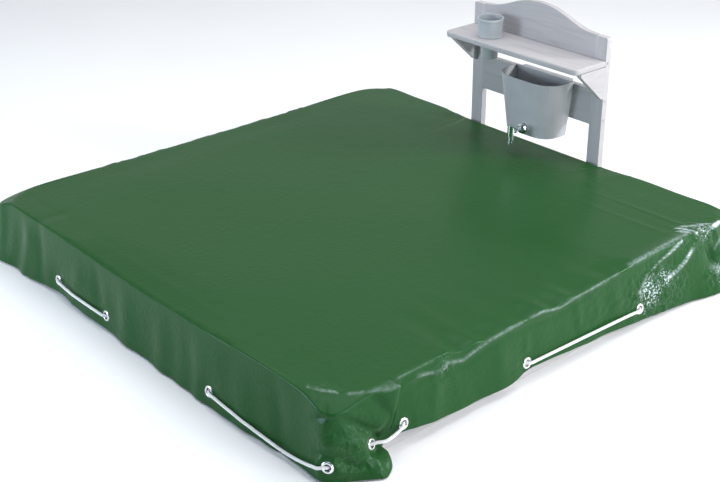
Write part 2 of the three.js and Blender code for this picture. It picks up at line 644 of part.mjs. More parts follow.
// Place on the skirt where an eyelet sits: its turn and drop, centre in the sheet and outward normal.
function eyeletPlace([side, index]) {
  const turn = stationTurn(side, index);
  const fall = skirtPoint(turn, 0).z - skirtPoint(turn, 1).z;
  const drop = 1 - EYELET_ABOVE_HEM / fall;
  const across = skirtNormal(turn, drop);
  const down = skirtPoint(turn, drop + 0.05).sub(skirtPoint(turn, drop - 0.05)).normalize();
  const tangent = new THREE.Vector3(-across.y, across.x, 0);
  const normal = new THREE.Vector3().crossVectors(down, tangent).normalize();
  if (normal.dot(across) < 0) normal.negate();
  const centre = skirtPoint(turn, drop).addScaledVector(normal, -COVER_THICK / 2);
  return { turn, drop, centre, normal, tangent };
}

// A cylinder made along Y, turned to the eyelet's normal and moved to its centre.
function standOnEyelet(geometry, { centre, normal }) {
  const turnTo = new THREE.Quaternion().setFromUnitVectors(new THREE.Vector3(0, 1, 0), normal);
  return geometry.applyQuaternion(turnTo).translate(centre.x, centre.y, centre.z);
}

const disc = (radius, length, sides) => new THREE.CylinderGeometry(radius, radius, length, sides);

// Length of skirt that one unit of `turn` covers at this place.
function skirtSpeed(turn, drop) {
  const step = 0.0008;
  return skirtPoint((turn + step) % 1, drop).distanceTo(skirtPoint((turn - step + 1) % 1, drop)) / (2 * step);
}

// One stretch of the elastic's route between two eyelets. Outside, it lies on the skirt. Inside, it runs
// close to the wall, or straight across the corner flap.
function elasticStretch(from, to, outside, straight) {
  const clear = ELASTIC_RADIUS + COVER_THICK / 2 + ELASTIC_CLEAR;
  const side = outside ? 1 : -1;
  let span = to.turn - from.turn;
  if (span > 0.5) span -= 1;
  if (span < -0.5) span += 1;
  const sign = Math.sign(span);
  const wrap = (turn) => (turn + 1) % 1;
  const along = (turn, drop) => {
    if (outside) {
      return skirtPoint(wrap(turn), drop)
        .addScaledVector(skirtNormal(wrap(turn), drop), clear - COVER_THICK / 2);
    }
    const point = skirtPoint(wrap(turn), 0).addScaledVector(skirtNormal(wrap(turn), 0.2), ELASTIC_INSIDE);
    return point.setZ(skirtPoint(wrap(turn), drop).z);
  };
  // A point next to an eyelet, a distance along the skirt towards the other one and off its face.
  const beside = (eyelet, direction, distance, outward) => eyelet.centre.clone()
    .addScaledVector(eyelet.tangent, direction * sign * distance)
    .addScaledVector(eyelet.normal, side * outward);
  const points = [beside(from, 1, 2.2, clear * 0.65), beside(from, 1, 7, clear * 1.25)];
  if (!straight) {
    const margin = (eyelet) => 20 / skirtSpeed(eyelet.turn, eyelet.drop);
    const first = from.turn + sign * margin(from);
    const last = from.turn + span - sign * margin(to);
    let turn = first;
    while ((last - turn) * sign > 0) {
      const drop = THREE.MathUtils.lerp(from.drop, to.drop, (turn - first) / (last - first));
      points.push(along(turn, drop));
      turn += sign * ELASTIC_STEP / skirtSpeed(wrap(turn), drop);
    }
  }
  points.push(beside(to, -1, 7, clear * 1.25), beside(to, -1, 2.2, clear * 0.65));
  return points;
}

// A curve that is stepped from control point to control point, so that tight places keep close steps.
class ControlledCurve extends THREE.CatmullRomCurve3 {
  getPointAt(part, target) {
    return this.getPoint(part, target);
  }

  getTangentAt(part, target) {
    return this.getTangent(part, target);
  }
}

// The whole elastic. Its ends sit in the first and the last eyelet.
function elasticSolid(places) {
  const points = [places[0].centre];
  places.slice(1).forEach((place, i) => {
    const outside = i % 2 === 0;            // the first stretch runs outside, and they take turns
    points.push(...elasticStretch(places[i], place, outside, i === CORNER_STRETCH), place.centre);
  });
  const curve = new ControlledCurve(points, false, 'centripetal');
  const section = new THREE.Shape();
  section.absarc(0, 0, ELASTIC_RADIUS, 0, Math.PI * 2);
  const cord = new THREE.ExtrudeGeometry(section, {
    extrudePath: curve, steps: points.length - 1, curveSegments: 3, bevelEnabled: false,
  });
  return toManifold(cord);
}

function addCover() {
  const places = EYELETS.map(eyeletPlace);
  const holes = places.map((place) => toManifold(standOnEyelet(disc(EYELET_OUTER + 0.6, 30, 12), place)));
  const sheet = holes.reduce((solid, hole) => solid.subtract(hole), coverSolid(2 * STATION_TOTAL));
  const elastic = elasticSolid(places);
  const far = 2 * WALL_OUT;
  const frontSide = toManifold(block([-far, -far, -far], [far, FOLD_Y - GAP / 2, far]));
  const backRight = toManifold(block([0, FOLD_Y + GAP / 2, -far], [far, far, far]));
  const backLeft = toManifold(block([-far, FOLD_Y + GAP / 2, -far], [0, far, far]));
  const backSide = toManifold(block([-far, FOLD_Y + GAP / 2, -far], [far, far, far]));
  add('cover_front', toGeometry(sheet.intersect(frontSide)), film);
  add('cover_back', toGeometry(sheet.intersect(backSide)), film);
  add('elastic_front', toGeometry(elastic.intersect(frontSide)), elasticWhite);
  add('elastic_back_right', toGeometry(elastic.intersect(backRight)), elasticWhite);
  add('elastic_back_left', toGeometry(elastic.intersect(backLeft)), elasticWhite);
  places.forEach((place, i) => {
    const washer = cut(disc(EYELET_OUTER, EYELET_THICK, 12), disc(EYELET_INNER, 3 * EYELET_THICK, 12));
    add(`eyelet_${String(i + 1).padStart(2, '0')}`, standOnEyelet(washer, place), steel);
  });
}

addWalls();
addCornerBlocks();
addSeats();
addPosts();
addBackBoard();
addCrossBoard();
addShelf();
addBrackets();
addPostBolts();
addSideScrews();
addCup();
addTank();
addTap();
addCover();

export default group;
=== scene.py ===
# Sandbox under a fitted cover, with a play kitchen on its back wall: the looks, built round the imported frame.
# Metres. +Z is up, +Y points to the kitchen and +X to its right-hand side.
import json
import math

import bmesh
import bpy
import numpy as np
from mathutils import Matrix, Vector
from numpy.linalg import norm


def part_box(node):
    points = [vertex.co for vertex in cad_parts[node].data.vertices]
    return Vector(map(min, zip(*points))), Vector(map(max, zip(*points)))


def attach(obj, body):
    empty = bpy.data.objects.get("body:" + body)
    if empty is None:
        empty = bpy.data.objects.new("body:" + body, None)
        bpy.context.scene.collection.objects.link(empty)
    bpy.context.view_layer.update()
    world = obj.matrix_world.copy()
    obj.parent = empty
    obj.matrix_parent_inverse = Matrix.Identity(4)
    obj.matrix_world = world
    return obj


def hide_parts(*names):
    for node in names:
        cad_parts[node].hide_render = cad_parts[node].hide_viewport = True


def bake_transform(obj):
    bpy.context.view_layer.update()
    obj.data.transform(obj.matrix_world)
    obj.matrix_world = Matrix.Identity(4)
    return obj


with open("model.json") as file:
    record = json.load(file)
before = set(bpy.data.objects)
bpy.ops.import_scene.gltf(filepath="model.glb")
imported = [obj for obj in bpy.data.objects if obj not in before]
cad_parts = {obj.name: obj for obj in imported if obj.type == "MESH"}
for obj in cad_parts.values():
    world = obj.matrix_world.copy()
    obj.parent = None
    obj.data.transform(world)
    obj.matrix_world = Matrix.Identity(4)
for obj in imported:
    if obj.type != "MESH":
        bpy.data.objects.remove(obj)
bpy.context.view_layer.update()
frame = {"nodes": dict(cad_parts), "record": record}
SEED = 20573
rng = np.random.default_rng(SEED)
MM = 0.001
CORNERS = ("front_left", "front_right", "back_right", "back_left")

# ---- materials


class Graph:
    """A material's node tree, with short calls to add and link nodes."""

    def __init__(self, name):
        self.material = bpy.data.materials.new(name)
        self.material.use_nodes = True
        self.tree = self.material.node_tree
        self.shader = self.tree.nodes["Principled BSDF"]

    def node(self, kind, inputs=None, **settings):
        made = self.tree.nodes.new(kind)
        for key, value in settings.items():
            setattr(made, key, value)
        for key, value in (inputs or {}).items():
            self.put(made.inputs[key], value)
        return made

    def put(self, socket, value):
        if isinstance(value, bpy.types.NodeSocket):
            self.tree.links.new(value, socket)
        else:
            socket.default_value = value

    def finish(self, **values):
        for key, value in values.items():
            self.put(self.shader.inputs[key.replace("_", " ")], value)
        return self.material

    def mapped(self, where, scale=(1, 1, 1), turn=(0, 0, 0)):
        return self.node("ShaderNodeMapping", {"Vector": where, "Scale": scale, "Rotation": turn}).outputs[0]

    def place(self, scale=(1, 1, 1), turn=(0, 0, 0)):
        return self.mapped(self.node("ShaderNodeTexCoord").outputs["Object"], scale, turn)

    def noise(self, where, scale, detail=4.0, rough=0.5, distortion=0.0):
        return self.node("ShaderNodeTexNoise", {
            "Vector": where, "Scale": scale, "Detail": detail, "Roughness": rough, "Distortion": distortion,
        }).outputs["Fac"]

    def ramp(self, factor, *stops):
        made = self.node("ShaderNodeValToRGB", {"Fac": factor})
        elements = made.color_ramp.elements
        while len(elements) < len(stops):
            elements.new(0.5)
        for element, (position, colour) in zip(elements, stops):
            element.position = position
            element.color = (*colour, 1)
        return made.outputs["Color"]

    def span(self, factor, low, high, start=0.0, end=1.0):
        return self.node("ShaderNodeMapRange", {
            "Value": factor, "From Min": start, "From Max": end, "To Min": low, "To Max": high,
        }).outputs["Result"]

    def maths(self, operation, first, second=0.0):
        made = self.node("ShaderNodeMath", operation=operation)
        self.put(made.inputs[0], first)
        self.put(made.inputs[1], second)
        return made.outputs[0]

    def mix(self, factor, first, second, blend="MIX"):
        made = self.node("ShaderNodeMix", {"Factor": factor}, data_type="RGBA", blend_type=blend)
        self.put(made.inputs[6], first)
        self.put(made.inputs[7], second)
        return made.outputs[2]

    def bump(self, height, strength, distance, under=None):
        inputs = {"Height": height, "Strength": strength, "Distance": distance}
        if under is not None:
            inputs["Normal"] = under
        return self.node("ShaderNodeBump", inputs).outputs["Normal"]


GRAIN_TURNS = {"x": (0, 0, 0), "y": (0, 0, math.pi / 2), "z": (0, math.pi / 2, 0)}
GLAZE = ((0.50, 0.485, 0.495), (0.47, 0.455, 0.465), (0.41, 0.40, 0.41))
TINT = 1.08


def times(colour, amount):
    return tuple(amount * c for c in colour)


def wood(name, grain, shade):
    """Pine under a thin light grey glaze, with its grain along one axis and its colours scaled by shade as
    painted light.
    """
    g = Graph(name)
    where = g.place(turn=GRAIN_TURNS[grain])
    streaked = g.mapped(where, (2.2, 46, 46))
    broad = g.mapped(where, (0.9, 11, 11))
    fibres = g.noise(streaked, 3.0, detail=7, rough=0.62, distortion=0.6)
    rings = g.noise(broad, 2.2, detail=3, rough=0.5, distortion=1.6)
    blotch = g.noise(where, 3.5, detail=3)
    # Painted light: the glaze colours are scaled up for pieces meant to look more brightly lit.
    light, middle, dark = (times(colour, shade) for colour in GLAZE)
    rings_colour = g.ramp(rings, (0.30, light), (0.52, middle), (0.60, dark), (0.70, light))
    fibre_colour = g.ramp(fibres, (0.34, dark), (0.56, light))
    normal = g.bump(fibres, 0.30, 0.0006)
    normal = g.bump(rings, 0.12, 0.0010, normal)
    return g.finish(
        Base_Color=g.mix(0.42, rings_colour, fibre_colour), Roughness=g.span(blotch, 0.42, 0.62, 0.3, 0.7),
        Normal=normal, Specular_IOR_Level=0.4,
    )


def moulded(name, colour, rough):
    """Satin moulded plastic with a fine spark-eroded surface and slightly uneven colour."""
    g = Graph(name)
    where = g.place()
    cloud = g.noise(where, 9.0, detail=3)
    skin = g.noise(where, 1400.0, detail=2)
    flow = g.noise(g.place(scale=(1, 1, 0.2)), 34.0, detail=3)
    shades = g.ramp(cloud, (0.35, times(colour, 1 / TINT)), (0.65, times(colour, TINT)))
    normal = g.bump(skin, 0.10, 0.0002)
    normal = g.bump(flow, 0.05, 0.0015, normal)
    return g.finish(
        Base_Color=shades, Roughness=g.span(flow, rough - 0.05, rough + 0.07, 0.3, 0.7), Normal=normal,
    )


def metal(name, colour, rough, scratch):
    g = Graph(name)
    haze = g.noise(g.place(), 60.0, detail=4)
    lines = g.noise(g.place(scale=(1, 1, 14)), 260.0, detail=3, rough=0.7)
    shades = g.ramp(haze, (0.3, times(colour, 0.92)), (0.7, colour))
    return g.finish(
        Base_Color=shades, Metallic=1.0, Roughness=g.span(haze, rough * 0.8, rough * 1.4, 0.3, 0.7),
        Normal=g.bump(lines, scratch, 0.0003),
    )


def rubber():
    g = Graph("rubber")
    grit = g.noise(g.place(), 700.0, detail=2)
    shades = g.ramp(grit, (0.3, (0.02, 0.02, 0.022)), (0.7, (0.05, 0.05, 0.055)))
    return g.finish(Base_Color=shades, Roughness=0.8, Normal=g.bump(grit, 0.3, 0.0003))


def braid():
    """White elastic: two sets of strands crossing round the cord, from the tube's own UV, with painted shade in
    the grooves between them.
    """
    g = Graph("elastic_cord")
    uv = g.node("ShaderNodeTexCoord").outputs["UV"]
    waves = []
    for turn in (0.6, -0.6):
        crossed = g.mapped(uv, turn=(0, 0, turn))
        waves.append(g.node("ShaderNodeTexWave", {"Vector": crossed, "Scale": 2.1}).outputs["Fac"])
    strands = g.maths("MAXIMUM", waves[0], waves[1])
    dirt = g.noise(g.place(), 24.0, detail=4)
    # Painted shade: the cord is greyer in the grooves between the strands.
    groove_shade = g.ramp(strands, (0.1, (0.70, 0.72, 0.73)), (0.75, (0.93, 0.94, 0.94)))
    stain = g.ramp(dirt, (0.35, (0.95, 0.94, 0.92)), (0.6, (1.0, 1.0, 1.0)))
    return g.finish(
        Base_Color=g.mix(1.0, groove_shade, stain, "MULTIPLY"), Roughness=0.75, Normal=g.bump(strands, 0.6, 0.0005),
        Sheen_Weight=0.25,
    )


def film():
    """Coated film: an almost even green, a soft gloss, faint scrim, and creases where it is crumpled, with
    painted highlights and glints in pale blue-white.
    """
    g = Graph("cover_film")
    where = g.place()
    cloud = g.noise(where, 1.6, detail=4)
    wobble = g.noise(where, 18.0, detail=3)
    # Two attributes of the sheet: the crumple mask, which sets the crease bump and where painted glints go, and
    # the painted highlight lines.
    crumple_and_glints = g.node("ShaderNodeAttribute", attribute_name="crumple_and_glints").outputs["Fac"]
    painted_highlight = g.node("ShaderNodeAttribute", attribute_name="painted_highlight").outputs["Fac"]

    offset = g.node("ShaderNodeVectorMath", operation="SCALE")
    g.put(offset.inputs[0], g.node("ShaderNodeTexNoise", {"Vector": where, "Scale": 14.0}).outputs["Color"])
    g.put(offset.inputs["Scale"], 0.035)
    moved = g.node("ShaderNodeVectorMath", operation="ADD")
    g.put(moved.inputs[0], where)
    g.put(moved.inputs[1], offset.outputs[0])
    facets = []
    for scale in (38.0, 96.0):
        cells = g.node("ShaderNodeTexVoronoi", {"Vector": moved.outputs[0], "Scale": scale},
                       feature="DISTANCE_TO_EDGE")
        facets.append(g.span(cells.outputs["Distance"], 0.0, 1.0, 0.0, 0.35))
    creases = g.maths("ADD", facets[0], g.maths("MULTIPLY", facets[1], 0.45))
    threads = [g.node("ShaderNodeTexWave", {"Vector": where, "Scale": 210.0}, bands_direction=direction)
               for direction in ("X", "Y")]
    weave = g.maths("ADD", *(thread.outputs["Fac"] for thread in threads))

    # Three kinds of painted highlight: glints along the edges of crumpled facets, streaks along drawn lines, and
    # glinting specks.
    coarse = g.span(facets[0], 1.0, 0.0, 0.0, 0.030)
    fine = g.span(facets[1], 0.8, 0.0, 0.0, 0.040)
    broken = g.span(g.noise(where, 60.0, detail=3), 0.0, 1.0, 0.42, 0.60)
    # Painted glints: pale along the facet edges where the film is crumpled.
    crack_glints = g.maths("MULTIPLY", g.maths("MAXIMUM", coarse, fine), broken)
    crack_glints = g.maths("MULTIPLY", crack_glints, g.maths("POWER", crumple_and_glints, 1.6))
    # Painted highlight: streaks along the drawn lines, broken up by noise.
    highlight_streaks = g.maths("MULTIPLY", painted_highlight, g.span(g.noise(where, 110.0, detail=2), 0.35, 1.0, 0.35, 0.62))
    # Painted glints: pale specks scattered over the most crumpled places.
    glint_grain = g.span(g.noise(where, 170.0, detail=4, rough=0.6), 0.0, 1.0, 0.53, 0.60)
    speck_glints = g.maths("MULTIPLY", g.span(crumple_and_glints, 0.0, 1.0, 0.50, 0.95), glint_grain)
    painted_highlight_share = g.maths("ADD", g.maths("MULTIPLY", crack_glints, 1.1), g.maths("ADD", highlight_streaks, speck_glints))
    green = g.ramp(cloud, (0.30, (0.0115, 0.0690, 0.0125)), (0.70, (0.0135, 0.0745, 0.0145)))
    # Painted highlight: the pale blue-white colour is mixed into the green wherever these marks lie.
    shown = g.mix(g.maths("MINIMUM", painted_highlight_share, 0.92), green, (0.72, 0.82, 0.86, 1))

    normal = g.bump(wobble, 0.10, 0.004)
    normal = g.bump(weave, 0.035, 0.0004, normal)
    normal = g.bump(creases, g.maths("MULTIPLY", crumple_and_glints, 0.9), 0.0035, normal)
    return g.finish(
        Base_Color=shown, Roughness=g.span(cloud, 0.27, 0.36, 0.3, 0.7), Normal=normal,
        Specular_IOR_Level=0.17, Specular_Tint=(0.75, 0.90, 1.0, 1.0),
    )


def floor_paint():
    g = Graph("floor")
    cloud = g.noise(g.place(), 2.0, detail=3)
    shades = g.ramp(cloud, (0.3, (0.92, 0.92, 0.92)), (0.7, (0.94, 0.94, 0.94)))
    return g.finish(Base_Color=shades, Roughness=0.9, Specular_IOR_Level=0.1)


# Painted light: the y and z copies of the wood are painted 8 and 10 per cent lighter, as if more brightly lit.
PAINTED_LIGHT_BY_GRAIN = {"x": 1.0, "y": 1.08, "z": 1.1}
WOODS = {grain: wood(f"glazed_wood_{grain}", grain, shade) for grain, shade in PAINTED_LIGHT_BY_GRAIN.items()}
FILM = film()
BRAID = braid()
TANK_PLASTIC = moulded("tank_plastic", (0.490, 0.500, 0.520), 0.42)
CUP_PLASTIC = moulded("cup_plastic", (0.46, 0.49, 0.51), 0.40)
CHROME = metal("tap_chrome", (0.80, 0.84, 0.86), 0.08, 0.02)
STEEL = metal("screw_steel", (0.55, 0.56, 0.58), 0.34, 0.25)
EYELET_METAL = metal("eyelet_metal", (0.86, 0.87, 0.88), 0.24, 0.10)
RUBBER = rubber()

# ---- helpers for meshes


def new_piece(name, vertices, faces, material, smooth=True):
    mesh = bpy.data.meshes.new(name)
    mesh.from_pydata([tuple(v) for v in vertices], [], faces)
    mesh.validate()
    mesh.polygons.foreach_set("use_smooth", [smooth] * len(mesh.polygons))
    mesh.materials.append(material)
    piece = bpy.data.objects.new(name, mesh)
    bpy.context.scene.collection.objects.link(piece)
    return piece


def grid_faces(rows, columns, closed_rows, closed_columns):
    """Quads between the points of a grid, which may close round its rows or its columns."""
    faces = []
    for i in range(rows if closed_rows else rows - 1):
        here = i * columns
        below = (i + 1) % rows * columns
        for j in range(columns if closed_columns else columns - 1):
            beside = (j + 1) % columns
            faces.append((here + j, below + j, below + beside, here + beside))
    return faces


def turned(profile, sides, centre, across, up, axis):
    """Points of a profile (radius and height in millimetres) turned round an axis."""
    points = []
    for k in range(sides):
        angle = 2 * math.pi * k / sides
        spoke = across * math.cos(angle) + up * math.sin(angle)
        points += [centre + spoke * radius * MM + axis * height * MM for radius, height in profile]
    return points


def dress(node, material):
    """Gives a CAD node its material."""
    piece = frame["nodes"][node]
    piece.data.materials.clear()
    piece.data.materials.append(material)
    return piece


def soften(piece, width, segments=3):
    bevel = piece.modifiers.new("edges", "BEVEL")
    bevel.width = width
    bevel.segments = segments
    bevel.limit_method = "ANGLE"
    bevel.angle_limit = math.radians(40)
    bevel.harden_normals = False
    piece.data.polygons.foreach_set("use_smooth", [True] * len(piece.data.polygons))
    weighted = piece.modifiers.new("normals", "WEIGHTED_NORMAL")
    weighted.keep_sharp = False


def middle_of(node):
    low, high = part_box(node)
    return (low + high) / 2


# ---- wood, screws and bolts

ALONG_X = ["wall_front", "wall_back", "back_board", "cross_board", "shelf"]
ALONG_X += [f"corner_seat_{corner}" for corner in CORNERS]
ALONG_Y = ["wall_left", "wall_right", "bracket_left", "bracket_right"]
ALONG_Z = ["post_left", "post_right"]
ALONG_Z += [f"corner_block_{corner}" for corner in CORNERS]


def finish_wood():
    for nodes, grain in ((ALONG_X, "x"), (ALONG_Y, "y"), (ALONG_Z, "z")):
        for node in nodes:
            soften(dress(node, WOODS[grain]), 0.0022)


def finish_screws():
    for side in ("left", "right"):
        for level in ("low", "high"):
            soften(dress(f"post_{side}_bolt_{level}", STEEL), 0.0006, 2)
        for level in ("low", "middle", "top"):
            soften(dress(f"post_{side}_screw_{level}", STEEL), 0.0004, 2)


finish_wood()
finish_screws()
for plain, paint in (("tank", TANK_PLASTIC), ("tap_gasket", RUBBER)):
    soften(dress(plain, paint), 0.0008, 2)
for plain in ("tap_body", "tap_nut", "tap_lever"):
    soften(dress(plain, CHROME), 0.0008, 2)

# ---- the cup

# Outline of the cup in millimetres, from its foot outside, over the rim, to its floor inside.
CUP_OUTLINE = [(18, 450.6), (19, 450.1), (24.4, 450.1), (25.7, 451.4), (26.1, 453.5), (31.7, 517.0),
               (31.8, 519.4), (33.0, 520.3), (38.2, 520.3), (39.4, 520.9), (39.5, 523.2), (38.7, 523.9),
               (37.5, 524.3), (37.4, 525.5), (39.4, 569.3), (39.5, 570.4), (40.5, 570.8), (40.9, 571.4),
               (41.0, 578.7), (40.6, 579.6), (39.8, 579.9), (39.0, 579.5), (38.7, 578.6), (36.4, 526.0),
               (35.6, 523.6), (33.6, 522.7), (30.6, 522.3), (29.5, 521.0), (29.2, 518.0), (23.8, 455.0),
               (22.6, 453.2), (20.5, 452.6)]
CUP_SIDES = 72


def build_cup():
    middle = middle_of("cup")
    vertices = turned(CUP_OUTLINE, CUP_SIDES, Vector((middle.x, middle.y, 0)), *Matrix.Identity(3))
    count = len(CUP_OUTLINE)
    faces = grid_faces(CUP_SIDES, count, True, False)
    faces.append(tuple(reversed(range(0, CUP_SIDES * count, count))))
    faces.append(tuple(range(count - 1, CUP_SIDES * count, count)))
    piece = new_piece("cup_shell", vertices, faces, CUP_PLASTIC)
    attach(piece, "cup")
    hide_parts("cup")


build_cup()

# ---- the cover's shape

TOP_LEVEL = 191 * MM

SIDES = {
    "front": lambda along, out: (along, -out),
    "right": lambda along, out: (out, along),
    "back": lambda along, out: (-along, out),
    "left": lambda along, out: (-out, -along),
}

# Stations round the cover in millimetres: crease (along, out, height), hem (along, out, height), and the
# radius of the bend at the crease.
STATIONS = {
    "front": [
        (-744, 758, 172, -744, 783, 5, 8),
        (-690, 751, 190, -680, 778, 5, 8), (-560, 750, 190, -560, 772, 5, 9),
        (-404, 750, 190, -420, 764, 12, 9), (-290, 750, 185, -290, 770, 8, 9),
        (-158, 750, 181, -158, 770, 8, 9), (20, 750, 178, 20, 772, 5, 9),
        (160, 750, 180, 180, 780, 5, 9), (300, 750, 184, 333, 782, 5, 9),
        (404, 750, 190, 500, 776, 5, 9), (650, 751, 190, 664, 771, 5, 8),
        (744, 758, 172, 762, 765, 8, 8), (760, 742, 172, 815, 668, 5, 8),
    ],
    "right": [
        (-650, 766, 186, -645, 820, 5, 9), (-580, 784, 184, -618, 814, 8, 5),
        (-565, 780, 184, -606, 804, 14, 4), (-574, 762, 186, -604, 782, 34, 4),
        (-548, 756, 187, -580, 774, 48, 6),
        (-500, 754, 188, -530, 772, 46, 8), (-404, 752, 190, -430, 771, 33, 8),
        (-345, 753, 174, -345, 771, 28, 5), (-300, 754, 180, -290, 771, 27, 5),
        (-250, 755, 171, -240, 771, 26, 5), (-190, 754, 179, -185, 771, 27, 5),
        (-125, 754, 173, -125, 770, 39, 5), (-65, 754, 181, -75, 771, 41, 5),
        (-18, 755, 171, -10, 771, 38, 5), (30, 754, 179, 40, 772, 34, 5),
        (75, 754, 172, 90, 772, 30, 5), (150, 753, 180, 160, 772, 27, 6),
        (205, 753, 177, 220, 773, 24, 6), (300, 752, 187, 320, 774, 18, 10),
        (404, 751, 190, 500, 786, 8, 10),
        (560, 751, 190, 590, 802, 5, 10), (660, 752, 190, 668, 812, 5, 7),
        (744, 758, 172, 747, 785, 6, 8),
    ],
    "back": [
        (-744, 758, 172, -742, 785, 6, 8),
        (-690, 751, 190, -680, 782, 6, 8), (-560, 751, 190, -560, 772, 8, 9),
        (-404, 751, 190, -420, 766, 12, 9), (-325, 751, 184, -322, 762, 14, 8),
        (-291, 751, 183, -294, 757, 60, 6), (-279, 751, 182, -280, 752, 168.5, 5),
        (-266, 744, 185, -266, 747, 174, 4), (-250, 741, 186, -250, 744.5, 176, 4),
        (-120, 740, 186, -120, 744.5, 176, 4), (80, 740, 186, 80, 744.5, 176, 4),
        (282, 741, 186, 282, 744.5, 176, 4), (298, 744, 185, 298, 747, 174, 4),
        (311, 751, 182, 312, 752, 168.5, 5), (323, 751, 183, 326, 757, 60, 6),
        (357, 751, 185, 354, 762, 14, 8), (404, 751, 190, 430, 766, 12, 9),
        (560, 751, 190, 560, 772, 8, 9), (690, 751, 190, 680, 782, 6, 8),
        (744, 758, 172, 740, 785, 6, 8),
    ],
    "left": [
        (-744, 758, 172, -747, 785, 6, 8),
        (-650, 751, 190, -655, 812, 5, 8), (-404, 751, 190, -500, 786, 8, 9),
        (-300, 750, 189, -320, 774, 14, 9), (-80, 750, 188, -80, 774, 14, 9),
        (125, 750, 188, 125, 770, 16, 9), (300, 750, 189, 330, 772, 14, 9),
        (404, 751, 190, 500, 780, 8, 9), (650, 751, 190, 655, 812, 5, 8),
        (744, 758, 172, 744, 785, 6, 8),
    ],
}


def station_table():
    """Crease points, hem points and bend radii of all stations, in metres."""
    crease, hem, radius = [], [], []
    for side, stations in STATIONS.items():
        for ca, co, cz, ha, ho, hz, bend in stations:
            crease.append((*SIDES[side](ca, co), cz))
            hem.append((*SIDES[side](ha, ho), hz))
            radius.append((bend, 0, 0))
    return [np.array(rows, float) * MM for rows in (crease, hem, radius)]


CREASE, HEM, BEND = station_table()


def loop_at(points, turns):
    """A closed centripetal Catmull-Rom curve through the points, read at station numbers."""
    count = len(points)
    base = np.floor(turns).astype(int)
    part = (turns - base)[:, None]
    p0, p1, p2, p3 = (points[(base + k) % count] for k in (-1, 0, 1, 2))
    gaps = [np.maximum(((b - a) ** 2).sum(1, keepdims=True) ** 0.25, 1e-4)
            for a, b in ((p0, p1), (p1, p2), (p2, p3))]
    d0, d1, d2 = gaps
    t1 = ((p1 - p0) / d0 - (p2 - p0) / (d0 + d1) + (p2 - p1) / d1) * d1
    t2 = ((p2 - p1) / d1 - (p3 - p1) / (d1 + d2) + (p3 - p2) / d2) * d1
    c2 = -3 * p1 + 3 * p2 - 2 * t1 - t2
    c3 = 2 * p1 - 2 * p2 + t1 + t2
    return p1 + t1 * part + c2 * part**2 + c3 * part**3


# Station numbers at which the top panel's corners lie.
CORNER_TURNS = np.cumsum([0] + [len(stations) for stations in STATIONS.values()]) - 0.5
COLUMNS = {"front": 200, "right": 350, "back": 200, "left": 350}

# Places where the columns lie closer: side, from, to along it in metres, and how many times as close.
CLOSER = [("front", 0.56, 0.80, 3.0), ("right", -0.80, -0.50, 3.0), ("right", 0.26, 0.78, 3.0),
          ("back", -0.80, -0.60, 2.0), ("back", -0.34, -0.24, 2.5), ("back", 0.26, 0.34, 2.5)]
CLOSER_EASE = 0.04


def side_along(side, points):
    x, y = points[..., 0], points[..., 1]
    return {"front": x, "right": y, "back": -x, "left": -y}[side]


def side_out(side, points):
    x, y = points[..., 0], points[..., 1]
    return {"front": -y, "right": x, "back": y, "left": -x}[side]


def limited(values):
    return np.clip(values, 0, 1)


def eased(values):
    """A smooth step from 0 to 1."""
    values = limited(values)
    return values * values * (3 - 2 * values)


def side_turns(index, side):
    """Station numbers of one side's columns, spread by length along hem and crease, closer where asked."""
    fine = np.linspace(CORNER_TURNS[index], CORNER_TURNS[index + 1], 4001)
    path = 0.5 * (loop_at(CREASE, fine) + loop_at(HEM, fine))
    step = norm(np.diff(path, axis=0), axis=1)
    along = side_along(side, 0.5 * (path[1:] + path[:-1]))
    density = np.ones(len(step))
    for which, low, high, amount in CLOSER:
        if which == side:
            inside = limited((along - low) / CLOSER_EASE + 0.5) * limited((high - along) / CLOSER_EASE + 0.5)
            density += (amount - 1) * inside
    reach = np.concatenate([[0], np.cumsum(step * density)])
    wanted = np.linspace(0, reach[-1], COLUMNS[side] + 1)[:-1]
    return np.interp(wanted, reach, fine)


TURNS = np.concatenate([side_turns(i, side) for i, side in enumerate(STATIONS)])
SIDE_OF = np.concatenate([np.full(COLUMNS[side], i) for i, side in enumerate(STATIONS)])
N = len(TURNS)

# Rows of one column: the flat rim, the rounded bend at the rim, the slope, the bend at the crease, the skirt.
RING_HALF = 0.680
BEND_ROWS = 6
SKIRT_ROWS = 40
RIM_HALF = 0.738
RIM_CORNER = 0.085
RIM_INSET = 0.012
SEAT_REACH = 0.404
TOP_ROWS = 2 * BEND_ROWS + 4


def rim_points(crease):
    """The level rim inside the crease, with rounded corners, and the direction from it towards the middle."""
    core = RIM_HALF - RIM_CORNER
    centre = np.clip(crease[:, :2], -core, core)
    away = crease[:, :2] - centre
    reach = norm(away, axis=1, keepdims=True)
    away /= reach
    rim = crease.copy()
    rim[:, :2] = centre + away * np.minimum(RIM_CORNER, reach - RIM_INSET)
    for index, (side, turn) in enumerate(SIDES.items()):
        here = SIDE_OF == index
        rim[here, :2] = np.column_stack(turn(np.sort(side_along(side, rim[here])), side_out(side, rim[here])))
    over_seat = limited((nearer_middle(crease) - SEAT_REACH) / 0.004 + 1)
    middle = crease[:, 2] + 0.004
    rim[:, 2] = np.minimum(middle, TOP_LEVEL) * (1 - over_seat) + TOP_LEVEL * over_seat
    return rim, np.column_stack([-away, np.zeros(len(away))])


def nearer_middle(points):
    """The smaller of the two distances from the middle lines, which is large only over the seats."""
    return np.minimum(abs(points[:, 0]), abs(points[:, 1]))


